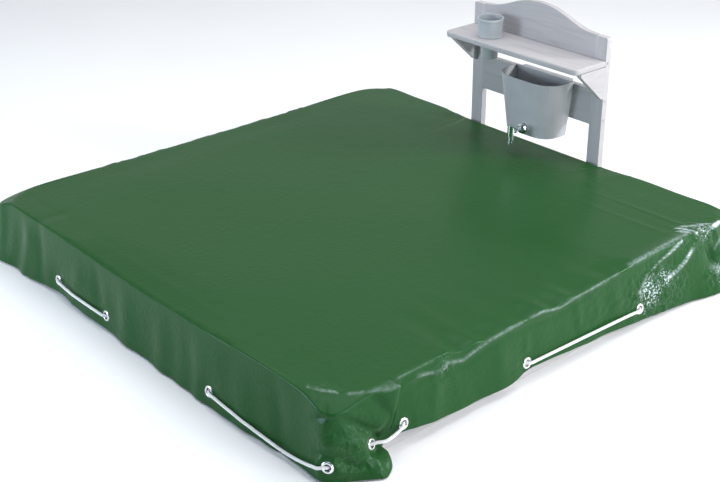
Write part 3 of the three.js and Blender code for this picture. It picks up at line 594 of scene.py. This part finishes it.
def inner_square(rim):
    """A square ring inside the rim, on which the flat top panel is built."""
    ring = np.zeros_like(rim)
    for index, (side, turn) in enumerate(SIDES.items()):
        here = SIDE_OF == index
        along = side_along(side, rim[here])
        share = (along - along[0]) / (along_end(index, rim) - along[0])
        height = rim[here, 2] * 0.3 + (TOP_LEVEL - 0.001) * 0.7
        x, y = turn(RING_HALF * (2 * share - 1), RING_HALF)
        ring[here] = np.stack(np.broadcast_arrays(x, y, height), axis=-1)
    return ring


def along_end(index, rim):
    """Where the next side begins, measured along this one."""
    side = list(SIDES)[index]
    following = np.argmax(SIDE_OF == (index + 1) % 4)
    return side_along(side, rim[following:following + 1])[0]


def rounded(before, corner, after, count):
    """Rows of a quadratic bend from one point past a corner to the next."""
    return [before * (1 - t) ** 2 + 2 * corner * t * (1 - t) + after * t**2 for t in np.linspace(0, 1, count)]


def length_of(rows):
    return norm(rows, axis=1, keepdims=True)


def column_shapes():
    """Positions (rows, columns, 3) before any folds."""
    crease = loop_at(CREASE, TURNS)
    hem = loop_at(HEM, TURNS)
    bend = loop_at(BEND, TURNS)[:, :1]
    rim, inward = rim_points(crease)
    start = inner_square(rim)
    slope = crease - rim
    slope_length = length_of(slope)
    slope /= slope_length
    down = hem - crease
    fall = length_of(down)
    down /= fall
    rim_bend = np.minimum(0.010, 0.42 * slope_length)
    crease_bend = np.minimum(np.minimum(bend, 0.5 * slope_length), 0.4 * fall)
    near = rim + inward * rim_bend
    rows = [start + (near - start) * t for t in (0, 0.25, 0.5, 0.75)]
    rows += rounded(near, rim, rim + slope * rim_bend, BEND_ROWS)
    after = crease + down * crease_bend
    rows += rounded(crease - slope * crease_bend, crease, after, BEND_ROWS)
    rows += [after + (hem - after) * (i / SKIRT_ROWS) ** 0.95 for i in range(1, SKIRT_ROWS + 1)]
    return np.array(rows)


def surface_normals(grid):
    """Unit normals of a (rows, columns) grid that closes round its columns, pointing out."""
    across = np.roll(grid, -1, axis=1) - np.roll(grid, 1, axis=1)
    down = np.gradient(grid, axis=0)
    normal = np.cross(down, across)
    return normal / np.maximum(norm(normal, axis=2, keepdims=True), 1e-12)


FACING = 0.60
SHARPNESS = 1.4


def beside_path(points, path, width, sharp=False):
    """1 on a path and 0 far from it, times the share that ends each of the path's points, in millimetres."""
    best = np.full(points.shape[:-1], np.inf)
    share = np.zeros(points.shape[:-1])
    for (*first, first_share), (*second, second_share) in zip(path, path[1:]):
        start = np.array(first) * MM
        step = np.array(second) * MM - start
        t = limited((points - start) @ step / (step @ step))
        away = norm(points - start - t[..., None] * step, axis=-1)
        closer = away < best
        best = np.where(closer, away, best)
        share = np.where(closer, first_share + (second_share - first_share) * t, share)
    ratio = best / (width * MM)
    return share * np.exp(-SHARPNESS * ratio if sharp else -(ratio**2))


def fold_height(points, path, width, height, sharp=False):
    """Height of a ridge along a path, or depth of a valley where the height is negative."""
    return beside_path(points, path, width, sharp) * height * MM


def around(points, centre, radius):
    """1 at a centre, falling to 0 well outside the radius."""
    return np.exp(-((norm(points - centre, axis=-1) / radius) ** 2))


# Folds of one side of the skirt: path (along, height above the ground, share), width, height, and True if sharp.
# The front skirt has long soft hanging folds.
FRONT_FOLDS = [
    ([(-585, 185, 0.0), (-575, 120, 1), (-600, 10, 1)], 26, 7),
    ([(-520, 188, 0.3), (-512, 120, 1), (-505, 30, 0.6)], 18, -5),
    ([(-660, 150, 0.2), (-668, 70, 1), (-690, 5, 1)], 30, 6),
    ([(-300, 170, 0.0), (-305, 100, 1), (-330, 20, 1)], 30, 5),
    ([(-215, 165, 0.2), (-205, 90, 1), (-180, 40, 0.8)], 22, -5),
    ([(-70, 170, 0.0), (-60, 90, 1), (-40, 5, 1)], 34, 6),
    ([(95, 165, 0.1), (110, 80, 1), (130, 5, 1)], 40, 7),
    ([(215, 170, 0.1), (235, 90, 1), (250, 5, 1)], 30, -6),
    ([(420, 160, 0.0), (450, 90, 1), (470, 5, 1)], 44, 7),
    ([(560, 175, 0.2), (585, 90, 1), (600, 5, 1)], 26, -5),
]
RIGHT_FOLDS = [
    # The wavering line a little below the edge of the right side.
    ([(-535, 163, 0.4), (-492, 169, 1), (-455, 160, 0.8), (-418, 150, 1), (-399, 164, 1),
      (-370, 156, 0.9), (-343, 150, 1), (-293, 163, 1), (-246, 171, 1), (-180, 173, 0.8),
      (-120, 176, 0.9), (-65, 177, 1), (-30, 168, 1), (-1, 163, 1), (56, 171, 1), (140, 175, 0.8),
      (233, 181, 0.8)], 5, 3.6, True),
    ([(-520, 150, 0.3), (-470, 152, 1), (-430, 136, 1), (-395, 140, 1), (-340, 134, 0.8),
               (-280, 148, 0.6), (-200, 158, 0.6), (0, 148, 0.8), (100, 158, 0.4)], 10, -3.5),
    # Small folds of the right skirt.
    ([(-420, 160, 0.8), (-440, 110, 1), (-450, 40, 0.4)], 20, 4),
    ([(-385, 150, 1), (-372, 110, 0.6), (-368, 70, 0.2)], 9, 3, True),
    ([(-230, 160, 0.4), (-220, 110, 1), (-215, 30, 0.6)], 26, 4),
    ([(-128, 150, 0.1), (-126, 110, 1), (-125, 75, 1)], 10, 3),
    ([(60, 160, 0.5), (70, 120, 1), (80, 60, 0.6)], 12, 3),
    ([(74, 168, 1), (81, 103, 0.3)], 6, 2.4, True),
    ([(140, 140, 0.3), (148, 101, 1), (150, 60, 0.3)], 8, 2.6, True),
    ([(215, 150, 0.4), (225, 100, 1), (235, 50, 0.3)], 16, 3),
    # Ridges that run down from the back right corner towards the eyelet on the right side.
    ([(575, 184, 1), (562, 168, 1), (525, 140, 1), (480, 118, 1), (442, 104, 0.9), (400, 96, 0.7)],
     6, 6.5, True),
    ([(499, 188, 0.5), (450, 172, 1), (390, 158, 1), (350, 140, 1), (334, 129, 1), (326, 110, 0.8)],
     5, 4.5, True),
    ([(470, 150, 0.2), (420, 132, 1), (372, 112, 1)], 22, -6),
    ([(400, 96, 0.8), (360, 84, 1), (330, 66, 0.8)], 6, 5.5, True),
    ([(340, 140, 0.3), (318, 105, 1), (312, 72, 0.9)], 6, 4.5, True),
    ([(298, 120, 0.2), (300, 90, 1), (306, 68, 0.8)], 5, 4, True),
    ([(440, 84, 0.3), (395, 68, 1), (345, 52, 1)], 7, 5, True),
    ([(470, 62, 0.2), (420, 46, 1), (350, 36, 0.8)], 7, 4, True),
    ([(452, 100, 0.2), (405, 84, 1), (372, 60, 0.7), (350, 30, 0.2)], 8, -4),
    ([(640, 175, 0.6), (655, 150, 1), (660, 110, 0.3)], 8, 5, True),
    ([(600, 150, 0.3), (622, 118, 1), (632, 92, 1)], 12, -11),
    ([(560, 60, 0.1), (610, 66, 1), (650, 40, 0.8)], 9, 4, True),
    ([(655, 30, 0.6), (640, 60, 1), (600, 80, 0.2)], 7, 4, True),
]

# Folds round the front right corner: path (x, y, z, share), width, height, and True if sharp.
CORNER_FOLDS = [
    ([(690, -772, 140, 0.2), (717, -770, 156, 0.9), (738, -758, 164, 1), (765, -715, 150, 1),
      (786, -662, 112, 1), (797, -625, 92, 0.5)], 11, -10),
    ([(700, -775, 158, 0.3), (722, -770, 168, 1), (745, -750, 174, 1), (775, -690, 160, 1),
      (790, -640, 130, 0.6)], 7, 4, True),
    ([(735, -775, 112, 0.4), (762, -742, 100, 1), (785, -690, 86, 0.8)], 22, 8),
    ([(715, -780, 70, 0.3), (752, -768, 72, 1), (782, -735, 52, 1), (800, -700, 40, 0.5)], 10, -7),
    ([(770, -760, 40, 0.3), (795, -725, 26, 1), (815, -680, 20, 0.8)], 9, 6, True),
    ([(760, -768, 20, 0.4), (790, -740, 12, 1), (805, -705, 8, 0.5)], 8, -5),
    ([(780, -640, 178, 1), (792, -600, 120, 1), (802, -622, 60, 1), (812, -640, 14, 1)], 14, -5),
]

# Where the skirt is drawn in or pushed out: centre, shift and radius in millimetres.
DENTS = [((800, -610, 62), (-24, -14, 0), 26), ((822, -650, 12), (14, 0, 0), 30),
         ((778, 628, 106), (-7, 0, 0), 36), ((765, 655, 190), (6, 4, 2), 24)]

# Facetted patches: centre, radii, facet size and facet height in metres.
FACETED = [
    ((0.770, 0.375, 0.085), (0.10, 0.115, 0.075), 0.024, 0.0075),
    ((0.768, 0.350, 0.060), (0.08, 0.075, 0.055), 0.012, 0.0045),
    ((0.790, 0.630, 0.050), (0.08, 0.050, 0.050), 0.018, 0.0050),
    ((0.755, 0.610, 0.185), (0.05, 0.085, 0.040), 0.020, 0.0050),
    ((0.755, 0.520, 0.185), (0.03, 0.045, 0.030), 0.014, 0.0030),
    ((0.785, -0.715, 0.080), (0.07, 0.070, 0.070), 0.022, 0.0050),
    ((0.760, -0.420, 0.145), (0.03, 0.035, 0.025), 0.012, 0.0030),
    ((0.770, 0.150, 0.110), (0.04, 0.090, 0.060), 0.030, 0.0030),
]


def facets(points, centre, radii, size, height):
    """Crumpled facets: the difference of the distances to the two nearest of many seeded points."""
    reach = np.array(radii) * 1.6
    away = norm((points - centre) / radii, axis=-1)
    near = away < 1.6
    count = int(max(24, min(4000, 8 * np.prod(reach) / size**3)))
    seeds = centre + (rng.random((count, 3)) * 2 - 1) * reach
    gaps = norm(points[near][:, None] - seeds[None], axis=2)
    gaps.sort(axis=1)
    value = limited((gaps[:, 1] - gaps[:, 0]) / size) - 0.25
    amount = np.zeros(points.shape[:-1])
    amount[near] = value * limited((1.5 - away[near]) / 0.9) * height
    return amount


# Folds of the top panel beside its edge: path (x, y, share) and width, height in millimetres.
TOP_FOLDS = [
    ([(770, 558, 1), (766, 590, 1), (749, 672, 1)], 5, 5.0, True),
    ([(690, 545, 0.6), (725, 560, 1), (752, 566, 1), (750, 660, 0.2)], 6, 4.0, True),
    ([(742, 300, 0.5), (735, 400, 1), (728, 500, 1), (722, 542, 0.7)], 9, 2.6),
    ([(712, 540, 1), (738, 548, 0.8)], 7, 2.4, True),
    ([(247, 700, 1), (255, 735, 1)], 10, -4),
    ([(300, 640, 0.2), (330, 610, 1), (352, 590, 0.2)], 9, 1.6),
    ([(655, -724, 1), (690, -708, 1), (716, -690, 0.8)], 4, 2.2, True),
    ([(752, -647, 0.5), (772, -600, 1), (782, -566, 1)], 6, 2.6, True),
]


def ripple(values, wavelengths, amplitudes):
    """A sum of sines with seeded phases."""
    total = np.zeros_like(values)
    for wavelength, amplitude in zip(wavelengths, amplitudes):
        total += amplitude * np.sin(2 * math.pi * (values / wavelength + rng.random()))
    return total


def skirt_grid():
    """The folded sheet from the inner ring to the hem."""
    grid = column_shapes()
    hem = grid[-1]
    reach = np.concatenate([[0], np.cumsum(norm(np.diff(hem, axis=0), axis=1))])
    fall = limited((TOP_LEVEL - grid[..., 2]) / 0.19)
    normals = surface_normals(grid)
    hang = fall**1.3 * (1 - 0.25 * fall)
    between_posts = (grid[0, :, 1] > 0.6) & (np.abs(grid[0, :, 0]) < 0.31)
    calm = np.where(between_posts, 0.0, 1.0)
    wave = ripple(reach, (0.41, 0.27, 0.163, 0.094), (0.0030, 0.0026, 0.0018, 0.0009))
    lean = ripple(reach, (0.83, 0.36), (0.003, 0.002))
    amount = (hang * wave + np.sin(math.pi * fall) * (lean - 0.002)) * calm
    for side, folds in (("front", FRONT_FOLDS), ("right", RIGHT_FOLDS)):
        seen = np.stack([side_along(side, grid), grid[..., 2]], axis=-1)
        facing = side_out(side, grid) > FACING
        for fold in folds:
            amount += fold_height(seen, *fold) * facing
    for fold in CORNER_FOLDS:
        amount += fold_height(grid, *fold)
    for patch in FACETED:
        amount += facets(grid, *patch)
    grid = grid + normals * amount[..., None]
    for centre, shift, radius in DENTS:
        grid = grid + np.array(shift) * MM * around(grid, np.array(centre) * MM, radius * MM)[..., None]
    waver = ripple(reach, (0.21, 0.083, 0.047), (0.0012, 0.0008, 0.0005)) * calm
    below_top = np.arange(len(grid)) - TOP_ROWS
    edge = np.exp(-(((below_top + BEND_ROWS / 2) / 3.5) ** 2))
    on_seat = limited((nearer_middle(grid[0]) - 0.37) / 0.03)
    grid[..., 2] += edge[:, None] * waver * (1 - 0.9 * on_seat)
    near_top = limited(1 - below_top / 6)[:, None]
    for fold in TOP_FOLDS:
        grid[..., 2] += fold_height(grid[..., :2], *fold) * near_top
    return grid


def shares(values):
    """How far each value lies between the first and the last."""
    return limited((values - values[0]) / (values[-1] - values[0]))


def top_grid(edge):
    """Coons patch over the innermost ring, with a slight sag between the seats."""
    nx, ny = COLUMNS["front"], COLUMNS["right"]
    front = edge[0:nx + 1]
    right = edge[nx:nx + ny + 1]
    back = edge[nx + ny:2 * nx + ny + 1][::-1]
    left = np.concatenate([edge[2 * nx + ny:], edge[:1]])[::-1]
    u = shares(front[:, 0])[:, None, None]
    v = shares(right[:, 1])[None, :, None]
    patch = (1 - v) * front[:, None] + v * back[:, None] + (1 - u) * left[None] + u * right[None]
    patch -= (1 - u) * (1 - v) * front[0] + u * (1 - v) * front[-1]
    patch -= (1 - u) * v * back[0] + u * v * back[-1]
    inside = np.minimum(np.minimum(u, 1 - u), np.minimum(v, 1 - v))[..., 0]
    blend = eased(inside / 0.07)
    x, y = patch[..., 0], patch[..., 1]
    sag = 0.0035 * np.cos(math.pi * x / 1.5) * np.cos(math.pi * y / 1.5)
    soft = 0.0006 * np.sin(7.1 * x + 3.0 * y + 0.4) + 0.0005 * np.sin(11.3 * y - 5.2 * x + 1.9)
    patch[..., 2] = patch[..., 2] * (1 - blend) + (TOP_LEVEL - sag + soft) * blend
    for fold in TOP_FOLDS:
        patch[..., 2] += fold_height(patch[..., :2], *fold) * limited(inside / 0.004)
    return patch


EYELETS = [f"eyelet_{i:02d}" for i in range(1, 17)]
PULL_RADIUS = 0.055
FLAT_RADIUS = 0.040


def eyelet_frames():
    """Centre and outward normal of each CAD eyelet, from its own vertices."""
    found = []
    for name in EYELETS:
        points = np.array([v.co for v in frame["nodes"][name].data.vertices])
        centre = np.array(middle_of(name))
        spread = np.linalg.svd(points - points.mean(0), full_matrices=False)[2]
        normal = spread[2]
        if normal[:2] @ centre[:2] < 0:
            normal = -normal
        found.append((centre, normal))
    return found


FRAMES = eyelet_frames()


def fit_to_eyelets(grid):
    """Draws the skirt on to each eyelet's middle and flattens it into the eyelet's plane."""
    for centre, normal in FRAMES:
        away = norm(grid - centre, axis=2)
        nearest = grid[np.unravel_index(np.argmin(away), away.shape)]
        offset = normal * ((centre - nearest) @ normal)
        grid = grid + offset * around(grid, centre, PULL_RADIUS)[..., None]
        rel = grid - centre
        flat = eased((FLAT_RADIUS - norm(rel, axis=2)) / 0.020)
        grid = grid - normal * ((rel @ normal) * flat)[..., None]
    return grid


HEM_WIDTH = 0.027
HEM_THICK = 0.0011
HEM_RAISE = 0.0008
FLAP_LENGTH = 0.021


def hem_rows(grid):
    """The hem: a raised doubled band outside, a tight turn at the bottom, and the turned-in flap behind."""
    normals = surface_normals(grid)
    down = grid[-1] - grid[-3]
    down /= length_of(down)
    out = normals[-1]
    above_hem = norm(grid - grid[-1][None], axis=2)
    band = limited((HEM_WIDTH - above_hem) / 0.003)
    grid = grid + normals * (band * HEM_RAISE)[..., None]
    edge = grid[-1]
    turned_in = [edge + down * HEM_THICK * 0.8 - out * HEM_THICK * 0.5,
                 edge + down * HEM_THICK * 0.6 - out * HEM_THICK * 1.3]
    flap = np.minimum(FLAP_LENGTH, 0.5 * length_of(edge - grid[TOP_ROWS]))
    for share in (0.0, 0.33, 0.67, 1.0):
        turned_in.append(edge - down * flap * share - out * HEM_THICK * 1.7)
    return np.concatenate([grid, np.array(turned_in)])


# Where the film is crinkled, bumped into creases and given painted glints: centre and radius in metres, and how
# strongly.
CRINKLED = [
    ((0.765, 0.36, 0.085), 0.060, 1.0), ((0.765, 0.42, 0.105), 0.040, 0.9),
    ((0.765, 0.33, 0.045), 0.040, 0.6), ((0.775, 0.45, 0.07), 0.07, 0.45),
    ((0.80, 0.655, 0.055), 0.045, 0.9), ((0.75, 0.60, 0.19), 0.055, 0.8),
    ((0.752, 0.520, 0.188), 0.04, 0.5), ((0.76, -0.405, 0.155), 0.035, 0.6),
    ((0.79, -0.72, 0.075), 0.06, 0.35), ((0.77, -0.56, 0.18), 0.03, 0.2),
    ((0.69, -0.71, 0.188), 0.03, 0.4),
]


# Lines of painted highlight along the film's creases and fold ridges: path (x, y, z), width in millimetres,
# strength.
PAINTED_HIGHLIGHT_LINES = [
    ([(768, 562, 186), (764, 600, 190), (756, 650, 191), (750, 676, 190)], 5.0, 1.7),
    ([(768, 562, 184), (768, 540, 160), (768, 505, 130), (768, 470, 114), (768, 430, 102)], 4.2, 1.1),
    ([(754, 499, 188), (760, 440, 170), (764, 390, 158), (766, 350, 138), (767, 334, 126), (768, 310, 98)],
     3.8, 0.9),
    ([(700, 545, 191), (722, 556, 191), (752, 566, 190)], 4.0, 1.0),
    ([(700, 560, 191), (722, 600, 191), (744, 640, 191)], 4.0, 0.55),
    ([(750, 281, 189), (746, 360, 190), (742, 450, 191), (738, 539, 191)], 7.0, 0.24),
    ([(720, 535, 191), (738, 548, 191)], 6.0, 0.6),
    ([(768, 662, 150), (770, 640, 120)], 3.5, 0.5),
    ([(772, 606, 76), (785, 654, 60)], 8.0, 0.5),
    ([(757, -492, 168), (757, -418, 152), (757, -399, 164), (757, -343, 150), (757, -293, 163),
      (757, -246, 171), (756, -120, 176), (756, -65, 177), (757, -1, 163), (756, 56, 171), (755, 233, 181)],
     4.0, 0.27),
    ([(767, 62, 168), (770, 74, 140), (770, 81, 103)], 2.5, 0.3),
    ([(768, 148, 120), (768, 148, 90)], 2.5, 0.3),
    ([(656, -730, 190), (690, -716, 190), (716, -698, 190)], 3.0, 0.38),
    ([(735, -680, 190), (752, -647, 189), (776, -600, 186), (780, -565, 185)], 4.0, 0.16),
    ([(756, -548, 187), (756, -500, 188), (756, -440, 188)], 3.5, 0.25),
]


# Strength of the painted highlight lines at each point.
def painted_highlight_strength(points):
    lines = [strength * beside_path(points, [(*place, 1) for place in path], width)
             for path, width, strength in PAINTED_HIGHLIGHT_LINES]
    return np.max(lines, axis=0)


# Crumple mask: it sets the crease bump and where painted glints go.
def crumple_and_glint_amount(points):
    amount = np.full(len(points), 0.06)
    for centre, radius, strength in CRINKLED:
        amount = np.maximum(amount, strength * around(points, centre, radius))
    return limited(amount + 0.05 * limited((0.186 - points[:, 2]) / 0.05))


SKIRT = fit_to_eyelets(skirt_grid())


def build_cover():
    grid = hem_rows(SKIRT)
    patch = top_grid(grid[0])
    rows = len(grid)
    nx, ny = COLUMNS["front"], COLUMNS["right"]
    vertices = grid.reshape(-1, 3)
    inner = patch[1:-1, 1:-1].reshape(-1, 3)

    def top_index(i, j):
        if j == 0:
            return i
        if i == nx:
            return nx + j
        if j == ny:
            return nx + ny + (nx - i)
        if i == 0:
            return (2 * nx + ny + (ny - j)) % N
        return rows * N + (i - 1) * (ny - 1) + (j - 1)

    faces = []
    for i in range(nx):
        for j in range(ny):
            faces.append((top_index(i, j), top_index(i + 1, j), top_index(i + 1, j + 1), top_index(i, j + 1)))
    faces += grid_faces(rows, N, False, True)
    cover = new_piece("cover_sheet", np.concatenate([vertices, inner]), faces, FILM)
    open_eyelets(cover)
    points = np.array([v.co for v in cover.data.vertices])
    # Stores the crumple mask and the painted highlight lines as point attributes.
    for name, values in (("crumple_and_glints", crumple_and_glint_amount(points)), ("painted_highlight", painted_highlight_strength(points))):
        layer = cover.data.attributes.new(name, "FLOAT", "POINT")
        layer.data.foreach_set("value", values.astype(np.float32))
    return cover


HOLE_CUT = 0.0098
HOLE_EDGE = 0.0108


def open_eyelets(cover):
    """Cuts the sheet away inside each eyelet, with the cut edge hidden under the ring."""
    mesh = bmesh.new()
    mesh.from_mesh(cover.data)
    for centre, normal in FRAMES:
        middle = Vector(centre)
        axis = Vector(normal)
        gone = [v for v in mesh.verts if (v.co - middle).length < HOLE_CUT]
        edge = {other for v in gone for e in v.link_edges for other in e.verts} - set(gone)
        bmesh.ops.delete(mesh, geom=gone, context="VERTS")
        for v in edge:
            flat = v.co - middle
            flat -= axis * flat.dot(axis)
            v.co = middle + flat.normalized() * HOLE_EDGE
    mesh.to_mesh(cover.data)
    mesh.free()


cover = build_cover()
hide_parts("cover_front", "cover_back")

# ---- eyelets and elastic

RING_PROFILE = [
    (8.9, -1.5), (8.9, 1.5), (9.4, 2.2), (10.4, 2.6), (11.8, 2.65), (13.3, 2.2), (14.6, 1.4),
    (15.2, 0.6), (15.2, -0.6), (14.6, -1.4), (13.3, -2.2), (11.8, -2.65), (10.4, -2.6), (9.4, -2.2),
]
RING_SIDES = 48


def basis_of(normal):
    axis = Vector(normal).normalized()
    across = axis.cross(Vector((0, 0, 1))).normalized()
    return axis, across, axis.cross(across)


def build_eyelet(name, centre, normal):
    axis, across, up = basis_of(normal)
    vertices = turned(RING_PROFILE, RING_SIDES, Vector(centre), across, up, axis)
    faces = grid_faces(RING_SIDES, len(RING_PROFILE), True, True)
    ring = new_piece(f"ring_{name[-2:]}", vertices, faces, EYELET_METAL)
    bodies = frame["record"]["behaviour"]["bodies"]
    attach(ring, next(body for body, nodes in bodies.items() if name in nodes))
    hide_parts(name)
    return ring


rings = [build_eyelet(name, *place) for name, place in zip(EYELETS, FRAMES)]

CORD_RADIUS = 0.0040
CORD_SIDES = 14
CORD_GAP = 0.0015
# How far a stretch hangs below a straight line, by its number in the route.
HANGING = {4: 0.006, 6: 0.024, 8: 0.006}
# The short stretch at the front right corner spans the pleat freely.
FREE_STRETCH = 4
BOW = Vector((0.75, -0.66, -0.05))
BOW_STEPS = 9


def skirt_points(grid, first, second, side, hang):
    """Points beside the skirt from one eyelet to the next, at evenly falling height, clear of the sheet."""
    start, end = (int(norm(grid - centre, axis=2).min(axis=0).argmin()) for centre in (first, second))
    count = (start - end) % N
    normals = surface_normals(grid)
    points = []
    for step in range(1, count):
        t = step / count
        k = (start - step) % N
        height = first[2] + (second[2] - first[2]) * t - hang * 4 * t * (1 - t)
        row = int(np.argmin(abs(grid[TOP_ROWS:, k, 2] - height))) + TOP_ROWS
        place = grid[row, k] + normals[row, k] * side * (CORD_RADIUS + CORD_GAP)
        points.append(Vector((place[0], place[1], height)))
    return points


def drawn_tight(points, side, rounds):
    """Pulls a stretch straight, but never nearer to the middle than the skirt's folds allow."""
    for _ in range(rounds):
        for k in range(1, len(points) - 1):
            here = points[k]
            between = (points[k - 1] + points[k + 1]) / 2
            if abs(here.x) > abs(here.y):
                outward = Vector((math.copysign(1, here.x), 0, 0))
            else:
                outward = Vector((0, math.copysign(1, here.y), 0))
            shift = (between - here).dot(outward)
            if shift * side > 0:
                here = here + outward * shift
            points[k] = Vector((here.x, here.y, between.z * 0.5 + here.z * 0.5))
    return points


def bowed(first, second):
    shares_along = [k / BOW_STEPS for k in range(1, BOW_STEPS)]
    return [first.lerp(second, t) + BOW * (0.011 + 0.012 * 4 * t * (1 - t)) for t in shares_along]


def elastic_path(grid):
    """Through the eyelets in turn: outside for one stretch, inside for the next."""
    route = [Vector(FRAMES[0][0])]
    for i, ((centre, normal), (following, next_normal)) in enumerate(zip(FRAMES, FRAMES[1:])):
        side = 1 if i % 2 == 0 else -1
        if i == FREE_STRETCH:
            stretch = bowed(Vector(centre), Vector(following))
        else:
            stretch = skirt_points(grid, centre, following, side, HANGING.get(i, 0.0))
        heading = (Vector(following) - Vector(centre)).normalized()
        first = Vector(centre) + heading * 0.009 + Vector(normal) * side * 0.0075
        last = Vector(following) - heading * 0.009 + Vector(next_normal) * side * 0.0075
        kept = [p for p in stretch if (p - first).length > 0.012 and (p - last).length > 0.012]
        rounds = 0 if i == FREE_STRETCH else 60 if side > 0 else 8
        route += drawn_tight([first] + kept[::2] + [last], side, rounds)
        route.append(Vector(following))
    return route


def subdivided(points):
    """Twice as many points on a smooth curve through the given ones."""
    finer = [points[0]]
    for k in range(len(points) - 1):
        before = points[max(k - 1, 0)]
        after = points[min(k + 2, len(points) - 1)]
        finer.append((points[k] + points[k + 1]) * 0.5625 - (before + after) * 0.0625)
        finer.append(points[k + 1])
    return finer


def build_cord(name, points):
    """A round cord along a path, with UV in radii for its braid, and narrowed ends."""
    tangents = [(points[min(k + 1, len(points) - 1)] - points[max(k - 1, 0)]).normalized()
                for k in range(len(points))]
    across = tangents[0].cross(Vector((0, 0, 1))).normalized()
    vertices, lengths = [], [0.0]
    for k, (point, tangent) in enumerate(zip(points, tangents)):
        across = (across - tangent * across.dot(tangent)).normalized()
        up = tangent.cross(across)
        size = CORD_RADIUS * (0.55, 0.9, 1.0)[min(k, len(points) - 1 - k, 2)]
        for s in range(CORD_SIDES):
            angle = 2 * math.pi * s / CORD_SIDES
            vertices.append(point + (across * math.cos(angle) + up * math.sin(angle)) * size)
        if k:
            lengths.append(lengths[-1] + (point - points[k - 1]).length)
    faces = [(a, d, c, b) for a, b, c, d in grid_faces(len(points), CORD_SIDES, False, True)]
    last = (len(points) - 1) * CORD_SIDES
    faces.append(tuple(reversed(range(CORD_SIDES))))
    faces.append(tuple(range(last, last + CORD_SIDES)))
    cord = new_piece(name, vertices, faces, BRAID)
    uv = cord.data.uv_layers.new(name="UVMap")
    for polygon in cord.data.polygons:
        quad = len(polygon.vertices) == 4
        for corner, (loop, vertex) in enumerate(zip(polygon.loop_indices, polygon.vertices)):
            section = vertex % CORD_SIDES
            if quad and corner in (1, 2) and section == 0:
                section = CORD_SIDES
            along = lengths[vertex // CORD_SIDES] / CORD_RADIUS
            uv.data[loop].uv = (along, section * 2 * math.pi / CORD_SIDES)
    return cord


elastic = build_cord("elastic", subdivided(elastic_path(SKIRT)))
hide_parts("elastic_front", "elastic_back_right", "elastic_back_left")
for piece in (cover, elastic):
    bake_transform(piece)

# ---- floor, light and camera

FLOOR_HALF = 14.0
FLOOR_LEVEL = -0.0004


def build_floor():
    corners = [(x * FLOOR_HALF, y * FLOOR_HALF, FLOOR_LEVEL) for x, y in ((-1, -1), (1, -1), (1, 1), (-1, 1))]
    new_piece("floor", corners, [(0, 1, 2, 3)], floor_paint(), False)


def area_light(name, place, target, size, power, colour=(1, 1, 1)):
    light = bpy.data.lights.new(name, "AREA")
    light.shape = "DISK"
    light.size = size
    light.energy = power
    light.color = colour
    lamp = bpy.data.objects.new(name, light)
    lamp.location = place
    lamp.rotation_euler = (Vector(target) - Vector(place)).to_track_quat("-Z", "Y").to_euler()
    bpy.context.scene.collection.objects.link(lamp)


def build_light():
    world = bpy.data.worlds.new("studio")
    world.use_nodes = True
    tree = world.node_tree
    background = tree.nodes["Background"]
    where = tree.nodes.new("ShaderNodeTexCoord")
    toward = tree.nodes.new("ShaderNodeVectorMath")
    toward.operation = "DOT_PRODUCT"
    toward.inputs[1].default_value = (0.66, -0.70, 0.27)
    shade = tree.nodes.new("ShaderNodeValToRGB")
    stops = ((0.15, (0.95, 0.97, 1.0, 1)), (0.80, (0.07, 0.15, 0.27, 1)))
    for element, (position, colour) in zip(shade.color_ramp.elements, stops):
        element.position = position
        element.color = colour
    tree.links.new(where.outputs["Generated"], toward.inputs[0])
    tree.links.new(toward.outputs["Value"], shade.inputs["Fac"])
    tree.links.new(shade.outputs["Color"], background.inputs["Color"])
    background.inputs["Strength"].default_value = 0.68
    bpy.context.scene.world = world
    area_light("overhead", (0.2, 0.3, 4.2), (0, 0, 0), 4.5, 120)
    area_light("back_right", (3.0, 2.6, 1.9), (0.6, 0.1, 0.1), 0.7, 95)
    area_light("right", (3.8, 0.2, 1.3), (0.6, 0, 0.2), 1.6, 55)
    area_light("front_left", (-1.5, -3.3, 1.0), (0, 0.7, 0.40), 1.2, 66, (0.74, 0.87, 1.0))


CAMERA_PLACE = (2.5949, -2.2646, 1.7499)
CAMERA_TURN = 0.8542
CAMERA_RISE = 0.4526
CAMERA_ROLL = -0.0053
CAMERA_LENS = 65.69


def build_camera():
    back = Vector((math.sin(CAMERA_TURN) * math.cos(CAMERA_RISE),
                   -math.cos(CAMERA_TURN) * math.cos(CAMERA_RISE), math.sin(CAMERA_RISE)))
    level = Vector((math.cos(CAMERA_TURN), math.sin(CAMERA_TURN), 0))
    upright = back.cross(level)
    right = math.cos(CAMERA_ROLL) * level + math.sin(CAMERA_ROLL) * upright
    up = -math.sin(CAMERA_ROLL) * level + math.cos(CAMERA_ROLL) * upright
    data = bpy.data.cameras.new("camera")
    data.lens = CAMERA_LENS
    data.sensor_width = 36
    camera = bpy.data.objects.new("camera", data)
    turned = Matrix((right, up, back)).transposed().to_4x4()
    camera.matrix_world = Matrix.Translation(CAMERA_PLACE) @ turned
    bpy.context.scene.collection.objects.link(camera)
    bpy.context.scene.camera = camera


build_floor()
build_light()
build_camera()
bpy.context.scene.view_settings.view_transform = "Standard"
